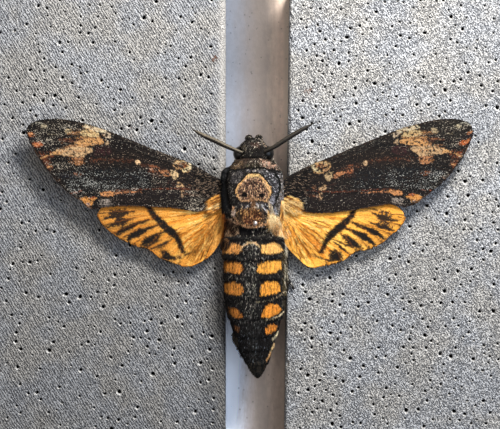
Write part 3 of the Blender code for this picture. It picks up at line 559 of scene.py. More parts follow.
def hindwing_shades(side, u, v):
    """Upper side of a hindwing: golden, drawn out in streaks from the base, with a black band and outer marks."""
    seed = 5 if side == "left" else 77
    base = HIND_BASE[side]
    # painted shade and light: the left hindwing's colours are set darker than the right's, here and in the marks below
    m = Marks(u, v, lin(206, 138, 54) if side == "left" else lin(246, 178, 74), wobble=0.8, grain=0.35, seed=seed)
    long = streaks(m.u, m.v, base, 0.035, 3.6, seed)
    fine = streaks(m.u, m.v, base, 0.06, 9.0, seed + 3)
    reach = np.hypot(u - base[0], v - base[1])
    inner = smooth(70, 30, reach)
    # marks are drawn out along the veins and hair, so their ends fray
    fray = (streaks(u, v, base, 0.03, 17.0, seed + 8) * 0.6 + streaks(u, v, base, 0.05, 34.0, seed + 9) * 0.4 - 0.5) * 5.5
    way_u, way_v = (u - base[0]) / np.maximum(1, reach), (v - base[1]) / np.maximum(1, reach)
    plain_u, plain_v = m.u, m.v
    m.u, m.v = plain_u + fray * way_u, plain_v + fray * way_v
    m.lay(smooth(0.55, 0.95, long), lin(234, 178, 80) if side == "left" else lin(255, 208, 104), 0.8, 0)
    m.lay(smooth(0.42, 0.12, long), lin(222, 134, 36), 0.75, 0)
    m.lay(smooth(0.62, 0.86, fine) * (0.35 + 0.65 * inner), lin(255, 226, 138), 0.7, 0)
    m.lay(smooth(0.36, 0.16, fine) * (0.45 + 0.55 * inner), lin(150, 80, 22), 0.8, 0)
    m.lay(smooth(50, 100, reach), lin(184, 120, 48) if side == "left" else lin(212, 142, 52), 0.62, 0)
    veil = smooth(0.45, 0.8, streaks(m.u, m.v, base, 0.045, 6.0, seed + 21)) * smooth(62, 88, reach)
    m.lay(veil, lin(104, 68, 34), 0.42 if side == "left" else 0.34, 0)
    dark, deep = lin(20, 16, 14), lin(40, 28, 20)
    if side == "left":
        m.lay(smooth(1.5, 6.0, u - 203 - np.maximum(0, (v - 240)) * 0.35) * smooth(214, 226, v), lin(196, 134, 62), 0.7, 0)
        m.lay(smooth(219, 225, u) * smooth(208, 218, v), lin(150, 84, 30), 0.85, 0.1)
        m.u, m.v = plain_u + 0.30 * fray * way_u, plain_v + 0.30 * fray * way_v
        m.line([(147, 203), (148.5, 207.5), (152, 213), (156, 218), (161, 223), (166, 228), (172, 232.4), (176.6, 237.4), (179, 242.4), (181, 247.6), (182, 251.6)], [2.71, 2.96, 3.08, 3.45, 4.19, 4.31, 4.43, 3.45, 2.59, 2.71, 1.97], dark, 1.5, 1, 0.3)
        m.u, m.v = plain_u + fray * way_u, plain_v + fray * way_v
        m.line([(181.6, 251), (190, 254)], [1.16, 0.58], deep, 1.20, 0.8)
        m.line([(186, 254.6), (198, 251.4)], [0.7, 1.6], lin(120, 78, 34), 1.4, 0.7)
        m.shape([(110, 209.6), (124, 209), (128, 213), (124, 218), (128, 222), (122, 227), (114, 225), (116, 218), (110, 215)], lin(34, 24, 20), 2.6, 0.96, 0.4)
        m.line([(104, 218.6), (112, 216.2), (122, 213.6), (134, 211)], [1.16, 2.17, 2.61, 0.87], deep, 1.35)
        m.line([(107, 227.4), (114, 223.4), (124, 221), (135, 217.4)], [1.01, 2.03, 2.46, 0.72], deep, 1.35)
        m.line([(115, 235), (121, 231), (130, 227), (138, 223), (149, 220)], [1.01, 2.75, 2.90, 1.89, 0.72], dark, 1.35)
        m.line([(126, 240.6), (131, 236.6), (139, 232.6), (148, 228.6), (158, 225)], [1.45, 3.48, 3.62, 2.03, 0.72], dark, 1.50)
        m.shape([(139.6, 246), (141.6, 241.6), (146, 237.6), (152, 235.6), (158, 232.4), (164, 231.6), (159.6, 236.4), (156.6, 241.6), (150, 244)], dark, 1.76, 1, None, 0.5)
        m.line([(147, 250.4), (156, 247.4), (163, 244), (172, 239.6)], [0.58, 1.30, 1.45, 0.58], deep, 1.05)
        m.line([(141, 246.6), (150, 245.4), (160, 240.6)], [0.87, 1.16, 0.43], deep, 0.90)
        m.shape([(161, 249.4), (164, 250.4), (168, 252.4), (175, 257.6), (174, 260), (168, 261), (162.6, 259.4), (161, 254)], dark, 2.08, 1, None, 0.5)
        m.line([(155, 250), (162, 246.6), (168, 243)], [0.58, 1.01, 0.58], deep, 0.90, 0.8)
        m.line([(174, 259), (183, 256.4), (191, 252.6)], [1.45, 1.30, 0.58], deep, 1.20, 0.85)
        checks = [(101, 220), (104.5, 226), (109, 231), (115.5, 236), (127, 241.6), (140, 247)]
    else:
        m.lay(smooth(292, 284, u - np.maximum(0, (v - 240)) * 0.3) * smooth(228, 240, v), lin(190, 128, 58), 0.8, 0)
        m.lay(smooth(292, 283, u) * smooth(226, 214, v) * smooth(198, 206, v), lin(246, 216, 150), 0.75, 0.1)
        m.u, m.v = plain_u + 0.30 * fray * way_u, plain_v + 0.30 * fray * way_v
        m.line([(354.6, 205), (353.6, 211), (352, 216), (347.6, 220.4), (342.6, 225), (337, 230), (331.6, 234.6), (327, 240), (324, 246), (321.4, 251.6)], [2.71, 2.96, 3.08, 3.20, 4.19, 4.43, 4.19, 2.96, 2.59, 2.34], dark, 1.5, 1, 0.3)
        m.u, m.v = plain_u + fray * way_u, plain_v + fray * way_v
        m.line([(324, 252.6), (311, 248)], [0.87, 0.58], deep, 1.20, 0.7)
        m.line([(318, 256), (309, 253.6)], [0.7, 1.2], lin(120, 78, 34), 1.4, 0.6)
        m.shape([(381, 210), (390, 211), (391, 217), (388, 221), (392, 226), (388, 231), (380, 228), (378, 220), (380, 214)], lin(50, 38, 30), 2.8, 0.85, 0.5)
        m.line([(372, 213), (380, 216.6), (388, 219.4), (398, 221)], [0.72, 2.17, 2.17, 0.87], deep, 1.35)
        m.line([(367, 207.6), (378, 210), (390, 212.4)], [0.58, 1.16, 1.01], deep, 1.20, 0.7)
        m.line([(370, 222), (380, 226), (388, 228.6), (394, 231)], [0.72, 2.32, 2.17, 1.01], deep, 1.35)
        m.line([(350, 221), (362, 226.6), (374, 231.6), (384, 238)], [0.72, 1.89, 3.19, 1.30], dark, 1.35)
        m.line([(344, 226.6), (355, 231.6), (365, 237), (376, 245)], [0.87, 2.03, 3.92, 1.30], dark, 1.50)
        m.shape([(341, 234.6), (348, 235.6), (356, 240.6), (363, 248.6), (357, 247.6), (349, 246.4), (346, 241)], dark, 1.92, 1, None, 0.5)
        m.line([(334, 240), (342, 243.6), (352, 246.6)], [0.58, 1.30, 1.16], deep, 0.90, 0.8)
        m.line([(333, 241.6), (341, 247.4), (349, 253.4)], [0.43, 1.45, 0.72], deep, 0.90)
        m.shape([(330, 251), (337, 250), (342.6, 254), (342, 260.6), (336, 262), (329, 260.4)], dark, 2.40, 1, None, 0.5)
        m.line([(331, 261), (322, 258.4), (314, 256)], [1.45, 1.16, 0.43], deep, 1.20, 0.85)
        checks = [(401.6, 226), (396, 231), (388, 238.6), (377, 245.4), (364, 249.8), (351, 254.6)]
    for end, fork in zip(HIND_ENDS[side], HIND_FORK[side]):
        m.line([fork, ((fork[0] + end[0]) / 2, (fork[1] + end[1]) / 2 - 0.4), end], [0.1, 0.3, 0.35], lin(112, 60, 20), 0.5, 0.8, 0)
    for end, fork in zip(HIND_ENDS[side], HIND_FORK[side]):
        for k, (share, size) in enumerate(((0.30, 0.55), (0.22, 0.45))):
            eu, ev = end[0] + (1.5 if k else 0.0), end[1] + (3.2 if k else 0.0) * (1 if end[1] < 240 else -0.2)
            m.line([(eu, ev), (eu + (fork[0] - eu) * share, ev + (fork[1] - ev) * share)], [size, 0.1], deep, 0.7, 0.8)
    for cu, cv in checks:
        m.blob(cu, cv, 1.6, 1.2, lin(36, 24, 16), 0.5, 0, 0.85)
    edge = pchip(HIND_REAR[side], u) - v
    m.lay(smooth(1.4, 0.2, edge) * (np.abs(u - 252) > 70), lin(150, 92, 34), 0.6, 0.2)
    dust = np.tile(lin(250, 196, 96), (len(u), 1))
    amount = 0.25 * np.ones((len(u), 1)) * (1 - smooth(0.05, 0.02, m.colour[:, :1]) * 0.6)
    return m.colour, np.concatenate([dust, amount], 1)


def underside_shades(kind, side, u, v):
    """Undersides are paler and plainer: ochre with dusky bands."""
    left = 503.4 - u if side == "right" else u
    m = Marks(left, v, lin(186, 134, 62) if kind == "fore" else lin(222, 164, 78), wobble=1.5, grain=0.5, seed=13)
    veins = noise(left * 0.08, v * 0.9, 3, 5)
    m.lay(smooth(0.6, 0.9, veins), lin(150, 100, 46), 0.5, 0)
    if kind == "fore":
        m.line([(112, 130), (118, 160), (120, 190), (112, 207)], 3.0, lin(52, 36, 24), 2.0, 0.8)
        m.line([(84, 122), (92, 150), (94, 180), (90, 205)], 2.2, lin(70, 46, 28), 2.0, 0.7)
        m.shape([(20, 110), (60, 110), (68, 140), (74, 170), (84, 215), (40, 215)], lin(84, 60, 40), 5, 0.8)
        m.line([(222, 184), (160, 152), (100, 129), (50, 119)], 2.2, lin(92, 66, 42), 1.5, 0.7)
        m.line([(222, 196), (160, 205), (100, 208)], 4.0, lin(120, 84, 44), 3.0, 0.6)
    else:
        m.line([(147, 200), (156, 218), (172, 232), (182, 252)], 1.6, lin(70, 50, 30), 1.3, 0.8)
        m.line([(112, 204), (122, 222), (138, 236), (166, 254)], 1.8, lin(96, 66, 36), 1.8, 0.6)
    dust = np.tile(lin(220, 190, 140), (len(u), 1))
    return m.colour, np.concatenate([dust, np.full((len(u), 1), 0.3)], 1)


def wing_relief(kind, side, u, v):
    """Raised veins and the slight hollow between them, in mm."""
    if kind == "fore":
        lu, lv = as_left_forewing(side, u, v)
        high = np.zeros(np.shape(u))
        for path, size in FORE_VEINS:
            d, t = to_path(lu, lv, path)
            high = np.maximum(high, size * np.exp(-((d / 1.0) ** 2)))
        return 0.085 * high + 0.05 * (fbm(lu * 0.09, lv * 0.16, 2, 2, 8) - 0.5)
    high = np.zeros(np.shape(u))
    base = HIND_BASE[side]
    for end, fork in zip(HIND_ENDS[side], HIND_FORK[side]):
        d, t = to_path(u, v, [base, fork, end])
        high = np.maximum(high, np.exp(-((d / 0.9) ** 2)) * (0.5 + 0.5 * t))
    fold = streaks(u, v, base, 0.02, 1.7, 9)
    return 0.075 * high + 0.16 * (fold - 0.5) * smooth(4, 30, np.hypot(u - base[0], v - base[1]))


def wing(kind, side, step):
    front = (FORE_FRONT if kind == "fore" else HIND_FRONT)[side]
    rear = (FORE_REAR if kind == "fore" else HIND_REAR)[side]
    root, tip = front[0][0], front[-1][0]
    columns = int(abs(tip - root) / step)
    i = np.linspace(0, 1, columns)
    share = 0.55 * i + 0.45 * np.sin(0.5 * math.pi * i)
    us = root + (tip - root) * share
    ahead, behind = pchip(front, us), pchip(rear, us)
    if kind == "hind":  # the outer margin is scalloped between the vein ends
        ends = np.array(HIND_ENDS[side])
        near = np.min(np.abs(us[:, None] - ends[None, :, 0]), 1)
        behind = behind - 0.55 * smooth(0.6, 4.5, near) * (np.abs(us - root) > 40)
    else:
        behind = behind + 0.22 * (noise(us * 0.45, 0, 0, 3) - 0.5)
    behind = np.maximum(behind, ahead + 0.3)
    rows = int(np.max(behind - ahead) / step)
    t = np.linspace(0, 1, rows)
    u = np.repeat(us[:, None], rows, 1)
    v = ahead[:, None] + (behind - ahead)[:, None] * t[None, :]
    x, y = to_mm(u, v)
    layer = LAYER if kind == "fore" else -LAYER
    middle = wing_level(side, x, y) + layer
    inset = np.minimum(np.minimum((v - ahead[:, None]), (behind[:, None] - v)), np.hypot(u - us[-1], (v - (ahead[-1] + behind[-1]) / 2)) * 0.8)
    half = 0.045 + 0.075 * smooth(0, 3.0, inset)
    if kind == "fore":  # a stout front edge
        half = half + 0.09 * smooth(4.0, 0.8, v - ahead[:, None]) * smooth(0.0, 0.8, v - ahead[:, None]) * (0.35 + 0.65 * (1 - share[:, None]))
    relief = wing_relief(kind, side, u.ravel(), v.ravel()).reshape(u.shape) * smooth(0.0, 1.5, inset)
    top = np.stack([x, y, middle + half + relief], -1).reshape(-1, 3)
    low = np.stack([x, y, middle - half + relief * 0.6], -1).reshape(-1, 3)
    n = len(top)
    faces = [grid_faces(columns, rows, 0, flip=(side == "left")), grid_faces(columns, rows, n, flip=(side == "right"))]
    index = np.arange(n).reshape(columns, rows)
    rim = np.concatenate([index[:, 0], index[-1, 1:], index[-2::-1, -1], index[0, -2:0:-1]])
    nxt = np.roll(rim, -1)
    side_faces = np.stack([rim, nxt, nxt + n, rim + n], -1)
    faces.append(side_faces if side == "left" else side_faces[:, ::-1])
    uu, vv = u.ravel(), v.ravel()
    shades = forewing_shades if kind == "fore" else hindwing_shades
    colour, dust = shades(side, uu, vv)
    below, below_dust = underside_shades(kind, side, uu, vv)
    s = (0.02 + 0.96 * np.repeat(share[:, None], rows, 1)).ravel()
    tt = np.repeat(t[None, :], columns, 0).ravel()
    flat = np.concatenate([np.stack([s, 0.02 + 0.46 * tt], 1), np.stack([s, 0.52 + 0.46 * tt], 1)])
    uv = np.concatenate([flat[f.ravel()] for f in faces])
    thing = build(f"{kind}wing_{side}_scaled", np.concatenate([top, low]), faces, uv, {"Marks": np.concatenate([colour, below]), "Dust": np.concatenate([dust, below_dust])})
    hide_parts(f"{kind}wing_{side}")
    return thing


def wing_finish(name, dusty, angle):
    f = Finish(name, roughness=0.78, specular=0.14, sheen=0.03, sheen_roughness=0.5)
    marks, _ = f.shade("Marks")
    dust, amount = f.shade("Dust")
    grains = f.noise(f.slant((0.80, 1.25, 1.0), angle), 3.9, 1.0, 0.5)
    small = f.noise(f.slant((0.85, 1.2, 1.0), angle), 6.4, 1.0, 0.5)
    both = f.maths("ADD", f.maths("MULTIPLY", grains, 0.62), f.maths("MULTIPLY", small, 0.38))
    limit = f.maths("MULTIPLY_ADD", amount, -0.24, 0.625)
    over = f.maths("MULTIPLY", f.maths("SUBTRACT", both, limit), 16.0 if dusty else 6.0)
    over = f.curve(over, 0.0, 1.0, 0.0, 0.92 if dusty else 0.35)
    base = f.mix(over, marks, dust)
    shadow = f.curve(both, 0.36, 0.52, 0.22 if dusty else 0.66, 1.16)
    f.colour(f.mix(1.0, base, f.node("ShaderNodeCombineColor", {"Red": shadow, "Green": shadow, "Blue": shadow}).outputs[0], "MULTIPLY"))
    scales = f.cells(f.place(), 5.2)
    f.bump((both, 0.55, 0.12), (scales, 0.35, 0.05))
    return f.material


# ---------------------------------------------------------------------------------------------------------------------
# Stage: pale floor, soft key from the upper right, pale bluish fill


def stage():
    bm = bmesh.new()
    bmesh.ops.create_grid(bm, x_segments=2, y_segments=2, size=1.5)
    floor = link(bm, "floor")
    f = Finish("floor_finish", roughness=0.9, specular=0.1)
    tone = f.noise(f.place(), 0.02, 2.0)
    f.colour(f.mix(tone, lin(226, 225, 222), lin(232, 231, 229)))
    floor.data.materials.append(f.material)

    def lamp(name, place, target, size, watts, tint):
        data = bpy.data.lights.new(name, "AREA")
        data.shape, data.size, data.energy, data.color = "DISK", size, watts, tint
        thing = bpy.data.objects.new(name, data)
        thing.location = place
        thing.rotation_euler = (Vector(target) - Vector(place)).to_track_quat("-Z", "Y").to_euler()
        bpy.context.scene.collection.objects.link(thing)

    lamp("key", (0.088, 0.182, 0.205), (0, 0, 0.03), 0.088, 1.26, (1.0, 0.968, 0.92))
    lamp("fill_cool", (0.27, -0.02, 0.36), (0, 0, 0.03), 0.34, 0.62, (0.70, 0.82, 1.0))
    lamp("fill_warm", (-0.26, -0.06, 0.36), (0, 0, 0.03), 0.34, 0.24, (1.0, 0.84, 0.70))
    lamp("fill_top", (0.0, -0.03, 0.56), (0, 0, 0.03), 0.40, 0.54, (0.95, 0.97, 1.0))
    world = bpy.data.worlds.new("studio")
    world.use_nodes = True
    world.node_tree.nodes["Background"].inputs["Color"].default_value = (0.83, 0.89, 1.0, 1)
    world.node_tree.nodes["Background"].inputs["Strength"].default_value = 0.09
    bpy.context.scene.world = world

    camera = bpy.data.cameras.new("camera")
    camera.sensor_width, camera.lens = 36.0, 116.5
    camera.clip_start, camera.clip_end = 0.01, 10
    eye = bpy.data.objects.new("camera", camera)
    eye.location = (0, 0, 0.432)
    bpy.context.scene.collection.objects.link(eye)
    bpy.context.scene.camera = eye
    bpy.context.scene.view_settings.view_transform = "Standard"
    bpy.context.scene.view_settings.look = "None"


# ---------------------------------------------------------------------------------------------------------------------
# Setting board and pin

HALF_W, HALF_L, TOP = 66.0, 57.0, 28.0
STAINS = ((215, 58, 3.2), (212.5, 61, 1.6), (307, 92, 2.6), (311, 90, 1.8), (130, 128, 1.6), (130.4, 136, 1.3), (303, 96, 1.2))


def pits(side):
    """Pin holes left in a panel: (x, y, radius, depth), thickest along the groove where wings have been set."""
    made = []
    want = 400 if side == "left" else 560
    tries = 0
    while len(made) < want and tries < 40000:
        tries += 1
        y = rng.uniform(-HALF_L + 1.5, HALF_L - 1.5)
        if side == "left":
            x = rng.uniform(-HALF_W + 1.5, -8.6)
            near = math.exp(-(-8.6 - x) / 4.5)
        else:
            x = rng.uniform(12.0, HALF_W - 1.5)
            near = math.exp(-(x - 12.0) / 6.0)
        patchy = float(fbm(x * 0.07, y * 0.07, 0, 2, 5 if side == "left" else 8))
        chance = 0.40 + 0.60 * near + 0.5 * max(0.0, patchy - 0.5) * 2
        if side == "right":
            chance += 0.12
        if rng.random() > chance:
            continue
        radius = float(rng.choice([0.27, 0.35, 0.42, 0.52], p=[0.26, 0.40, 0.24, 0.10])) * rng.uniform(0.9, 1.1)
        if any(math.hypot(x - a, y - b) < 2.0 * (radius + c) + 0.10 for a, b, c, _ in made):
            continue
        made.append((x, y, radius, rng.uniform(1.6, 2.6)))
    return made


def panel(side):
    """A foam panel with a softened groove edge, pricked with pin holes."""
    sign = -1 if side == "left" else 1
    low = 16.3
    holes = pits(side)

    def inner(y):  # the groove edge
        if side == "left":
            return -6.25 + 0.10 * (noise(y * 0.35, 2, 0, 4) - 0.5)
        chip = smooth(0.58, 0.9, fbm(y * 0.55, 7, 0, 3, 12)) * 0.75
        return 9.45 + 0.65 * y / 57.0 + 0.8 * chip + 0.12 * (noise(y * 1.7, 2, 0, 4) - 0.5)

    points, heights, rim_lights, edges = [], [], [], []

    def put(x, y, z, rim=0.0):
        points.append(Vector((x, y)))
        heights.append(z)
        rim_lights.append(rim)
        return len(points) - 1

    bevel = [(0.0, -1.25), (0.16, -0.62), (0.45, -0.25), (0.85, -0.07), (1.35, 0.0)] if side == "left" else [(0.0, -0.75), (0.10, -0.32), (0.26, -0.10), (0.5, 0.0)]
    lines = []
    ys = np.arange(-HALF_L, HALF_L + 0.01, 0.6)
    for out, drop in bevel:
        lines.append([put(float(inner(y)) + sign * out, float(y), TOP + drop + (0.0 if drop < -0.5 else 0.05 * float(noise(y * 1.3, out * 3, 0, 6) - 0.5))) for y in ys])
    for line in lines:
        edges += list(zip(line, line[1:]))
    far = [put(sign * (HALF_W - (0.0 if k == 0 else 0.25)), float(y), TOP - (0.3 if k == 0 else 0.0)) for k in (0,) for y in ys]
    shoulder = [put(sign * (HALF_W - 0.3), float(y), TOP) for y in ys]
    edges += list(zip(far, far[1:])) + list(zip(shoulder, shoulder[1:]))
    start = 9.9 + 0.65 if side == "right" else 6.25
    for y in (-HALF_L, HALF_L):
        row = [lines[k][0 if y < 0 else -1] for k in range(len(bevel))]
        x = abs(points[row[-1]].x) + 2.0
        while x < HALF_W - 1.5:
            row.append(put(sign * x, y, TOP))
            x += 2.0
        row += [shoulder[0 if y < 0 else -1], far[0 if y < 0 else -1]]
        edges += list(zip(row, row[1:]))
        lines.append(row)
    rim = {}
    for x, y, r, depth in holes:
        lean = rng.uniform(-0.12, 0.12, 2)
        phase = rng.uniform(0, 6.28)
        count = 10
        wob = 1 + 0.10 * np.sin(np.arange(count) * 2 * math.pi / count * 2 + phase) + rng.uniform(-0.05, 0.05, count)
        for scale, z in ((2.0, 0.0), (1.5, 0.09), (1.0, -0.02), (0.86, -0.30), (0.72, -0.7 * depth)):
            ring = []
            for k in range(count):
                a = 2 * math.pi * k / count
                # painted highlight: a pale crescent on the lower left of each hole's rim, the side the lamp lights
                rim = max(0.0, -math.cos(a - 1.05)) if scale in (1.5, 1.0) else 0.0
                ring.append(put(x + lean[0] * (1.2 - min(scale, 1.2)) + r * scale * wob[k] * math.cos(a), y + lean[1] * (1.2 - min(scale, 1.2)) + r * scale * wob[k] * math.sin(a), TOP + z, rim))
            edges += [(ring[k], ring[(k + 1) % count]) for k in range(count)]
        put(x + lean[0] * 0.5, y + lean[1] * 0.5, TOP - depth)
    gap = 1.5
    inside = np.array([(x, y, r) for x, y, r, _ in holes])
    crumbs = []
    for su, sv, sr in STAINS:
        cx, cy = (float(c) for c in to_mm(su, sv, 1.01))
        for ring, count in ((0.0, 1), (0.45, 6), (0.9, 8), (1.4, 9)):
            for k in range(count):
                a = 2 * math.pi * k / count + ring
                px, py = cx + ring * sr * 0.25 * math.cos(a), cy + ring * sr * 0.25 * math.sin(a)
                if px * sign > (8.2 if side == "left" else 11.0) and np.min(np.hypot(inside[:, 0] - px, inside[:, 1] - py) - inside[:, 2] * 2.0) > 0.06 and all(math.hypot(px - p, py - q) > 0.08 for p, q in crumbs):
                    crumbs.append((px, py))
                    put(px, py, TOP + (0.10 if ring < 0.9 else 0.0))
    for gx in np.arange(start + 2.2, HALF_W - 0.9, gap):
        for gy in np.arange(-HALF_L + 0.9, HALF_L - 0.8, gap):
            x, y = sign * (gx + rng.uniform(-0.45, 0.45)), gy + rng.uniform(-0.45, 0.45)
            if np.min(np.hypot(inside[:, 0] - x, inside[:, 1] - y) - inside[:, 2] * 2.0) < 0.22:
                continue
            put(x, y, TOP + 0.07 * (float(fbm(x * 0.12, y * 0.12, 0, 2, 3)) - 0.5))
    verts, _, tris, origin, _, _ = geometry.delaunay_2d_cdt(points, edges, [], 0, 1e-7)
    z = np.array([heights[o[0]] if o else TOP for o in origin])
    stain_and_rim_light = np.array([rim_lights[o[0]] if o else 0.0 for o in origin])
    flat = np.array([(p.x, p.y) for p in verts])
    top = np.column_stack([flat, z])
    tris = np.array([t for t in tris if len(t) == 3], np.int64)
    a, b, c = (flat[tris[:, k]] for k in range(3))
    area = (b[:, 0] - a[:, 0]) * (c[:, 1] - a[:, 1]) - (c[:, 0] - a[:, 0]) * (b[:, 1] - a[:, 1])
    tris = tris[np.abs(area) > 1e-9]
    area = area[np.abs(area) > 1e-9]
    tris[area < 0] = tris[area < 0][:, ::-1]
    # close it: walls down from the boundary of the top, and a flat underside
    from_edge = {}
    for t in tris.tolist():
        for p, q in ((t[0], t[1]), (t[1], t[2]), (t[2], t[0])):
            from_edge[(p, q)] = from_edge.get((p, q), 0) + 1
    border = {p: q for (p, q) in from_edge if (q, p) not in from_edge}
    first = next(iter(border))
    loop, here = [first], border[first]
    while here != first and len(loop) < len(border) + 2:
        loop.append(here)
        here = border[here]
    n = len(top)
    steps = 5
    rings = [np.array(loop)]
    layers = [top]
    for k in range(1, steps + 1):
        ring = top[loop].copy()
        ring[:, 2] = ring[:, 2] + (low - ring[:, 2]) * k / steps
        if side == "right" and k < steps:
            groove = np.abs(ring[:, 0]) < 12.5
            ring[groove, 0] += 0.18 * (noise(ring[groove, 1] * 0.9, ring[groove, 2] * 0.9, 0, 21) - 0.5)
        layers.append(ring)
        rings.append(np.arange(len(loop)) + n + (k - 1) * len(loop))
    quads = []
    for p, q in zip(rings, rings[1:]):
        quads.append(np.stack([np.roll(p, -1), p, q, np.roll(q, -1)], -1))
    last = rings[-1]
    centre = n + steps * len(loop)
    layers.append(np.array([[sign * 38.0, 0.0, low]]))
    fan = np.stack([np.roll(last, -1), last, np.full(len(last), centre)], -1)
    every = np.concatenate(layers)
    faces = [tris, np.concatenate(quads), fan]
    # shades: pin holes painted dark inside as painted shade, brown stain spots, tone that varies at random and is
    # painted lighter towards the far end and darker on the left as painted light and shade, a painted shadow of the
    # body by the groove, a painted highlight along the bevel by the groove, and a painted highlight on the lower left
    # of each hole's rim
    x, y, zz = every.T
    u, v = to_plan(x, y, 1.01)
    tone = np.ones(len(every)) * 0.5
    # painted light and shade: tone lighter towards the far end and darker on the left panel, besides its random change
    tone += 0.14 * (fbm(x * 0.05, y * 0.05, 0, 3, 9) - 0.5) + (0.17 if side == "left" else 0.10) * y / HALF_L - (0.07 if side == "left" else 0.0)
    if side == "left":
        # painted shadow of the body, on the left panel by the groove towards the near end
        tone -= 0.30 * smooth(-15, -8, x) * smooth(-12, -30, y)
    # painted shade: the pin holes are dark inside
    deep = smooth(TOP - 0.16, TOP - 0.5, zz) * (zz > TOP - 3.5)
    deep = np.where((np.abs(x) > 8.4) if side == "left" else (x > 11.9), deep, 0)
    deep[n:] = 0
    deep[(np.abs(x) > HALF_W - 0.6) | (np.abs(y) > HALF_L - 0.6)] = 0
    # painted highlight along the left panel's bevel by the groove, on its far half
    strip = smooth(1.9, 0.8, np.abs(x) - 6.25) * smooth(-6, 6, y) if side == "left" else np.zeros(len(every))
    stain = np.zeros(len(every))
    for su, sv, sr in STAINS:
        stain = np.maximum(stain, smooth(sr * 1.5, sr * 0.3, np.hypot(u - su, v - sv)))
    edge = np.zeros(len(every))
    stain_and_rim_light = np.concatenate([stain_and_rim_light, np.zeros(len(every) - len(stain_and_rim_light))])
    shades = {"Marks": np.stack([tone, deep, strip, np.ones(len(every))], -1), "StainsAndRimLight": np.stack([stain, stain_and_rim_light, edge, np.ones(len(every))], -1)}
    s = (x + HALF_W) / 132.0
    plan_uv = np.stack([0.01 + 0.98 * s, 0.30 + 0.69 * (y + HALF_L) / 114.0], -1)
    run = np.concatenate([np.full(n, -1.0), np.tile(np.linspace(0, 1, len(loop), endpoint=False), steps), [0.5]])
    uv_top = plan_uv[tris.ravel()]
    wall = []
    for k, q in enumerate(quads):
        i = np.arange(len(loop))
        p0, p1 = (i + 1) / len(loop), i / len(loop)
        za, zb = 0.28 - 0.045 * k, 0.28 - 0.045 * (k + 1)
        wall.append(np.stack([np.stack([p0, np.full(len(i), za)], -1), np.stack([p1, np.full(len(i), za)], -1), np.stack([p1, np.full(len(i), zb)], -1), np.stack([p0, np.full(len(i), zb)], -1)], 1).reshape(-1, 2))
    under = np.concatenate(layers)[fan.ravel()]
    uv_under = np.stack([(under[:, 0] + HALF_W) / 132.0, 0.001 + 0.045 * (under[:, 1] + HALF_L) / 114.0], -1)
    uv = np.concatenate([uv_top, *wall, uv_under])
    thing = build(f"panel_{side}_foam", every, faces, uv, shades)
    thing.data.set_sharp_from_angle(angle=math.radians(52))
    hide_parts(f"board_panel_{side}")
    return thing


def foam_finish(name, light=1.0, run=1.0):
    """Grey foam with a fine slanting ripple pressed into it; `run` is how regular the ripple is, and `light` scales its
    paler colour as painted light and shade.
    """
    f = Finish(name, roughness=0.93, specular=0.12)
    marks, _ = f.shade("Marks")
    stain_rim_attribute, _ = f.shade("StainsAndRimLight")
    split = f.node("ShaderNodeSeparateColor", {"Color": marks})
    stain_and_rim_light = f.node("ShaderNodeSeparateColor", {"Color": stain_rim_attribute})
    aslant = f.slant((1.0, 0.45, 1.0), 0.56)
    ripple = f.wave(aslant, 0.50, 6.5, 2.0, 2.0)
    grain = f.noise(f.slant((1.30, 0.62, 1.0) if run > 0.5 else (1.15, 0.80, 1.0), 0.56), 4.3 if run > 0.5 else 3.7, 1.0, 0.5)
    cell = f.cells(f.place(), 3.2)
    grain = f.curve(grain, 0.30, 0.70)
    height = f.maths("ADD", f.maths("MULTIPLY", ripple, 0.72 * run), f.maths("MULTIPLY", grain, 1.0 - 0.72 * run))
    drift = f.noise(f.place(), 0.10, 2.0)
    dark = f.curve(height, 0.26 if run > 0.5 else 0.17, 0.74 if run > 0.5 else 0.83)
    tone = f.curve(split.outputs[0], 0.1, 0.7, 0.50, 1.12, "LINEAR")
    pale = f.mix(dark, tuple(lin(104, 105, 109)), tuple(lin(230, 229, 229) * light))
    pale = f.mix(1.0, pale, f.mix(f.curve(drift, 0.36, 0.64), (1.0, 0.985, 0.94), (0.95, 0.985, 1.03)), "MULTIPLY")
    # painted highlight along the bevel by the groove
    pale = f.mix(split.outputs[2], pale, tuple(lin(214, 211, 207)))
    # tone, which carries painted light and shade
    pale = f.mix(1.0, pale, f.node("ShaderNodeCombineColor", {"Red": tone, "Green": tone, "Blue": tone}).outputs[0], "MULTIPLY")
    spots = f.noise(f.place(), 1.7, 2.0)
    soil = f.maths("MULTIPLY", stain_and_rim_light.outputs[0], f.curve(spots, 0.42, 0.56))
    pale = f.mix(soil, pale, tuple(lin(112, 66, 40)))
    # painted shade: pin holes dark inside
    pale = f.mix(split.outputs[1], pale, tuple(lin(20, 18, 18)))
    # painted highlight on the lit side of each hole's rim
    f.colour(f.mix(f.curve(stain_and_rim_light.outputs[1], 0.30, 0.75), pale, tuple(lin(244, 243, 240))))
    f.bump((height, 1.0, 0.66 if run > 0.5 else 0.50), (cell, 0.3, 0.12))
    return f.material


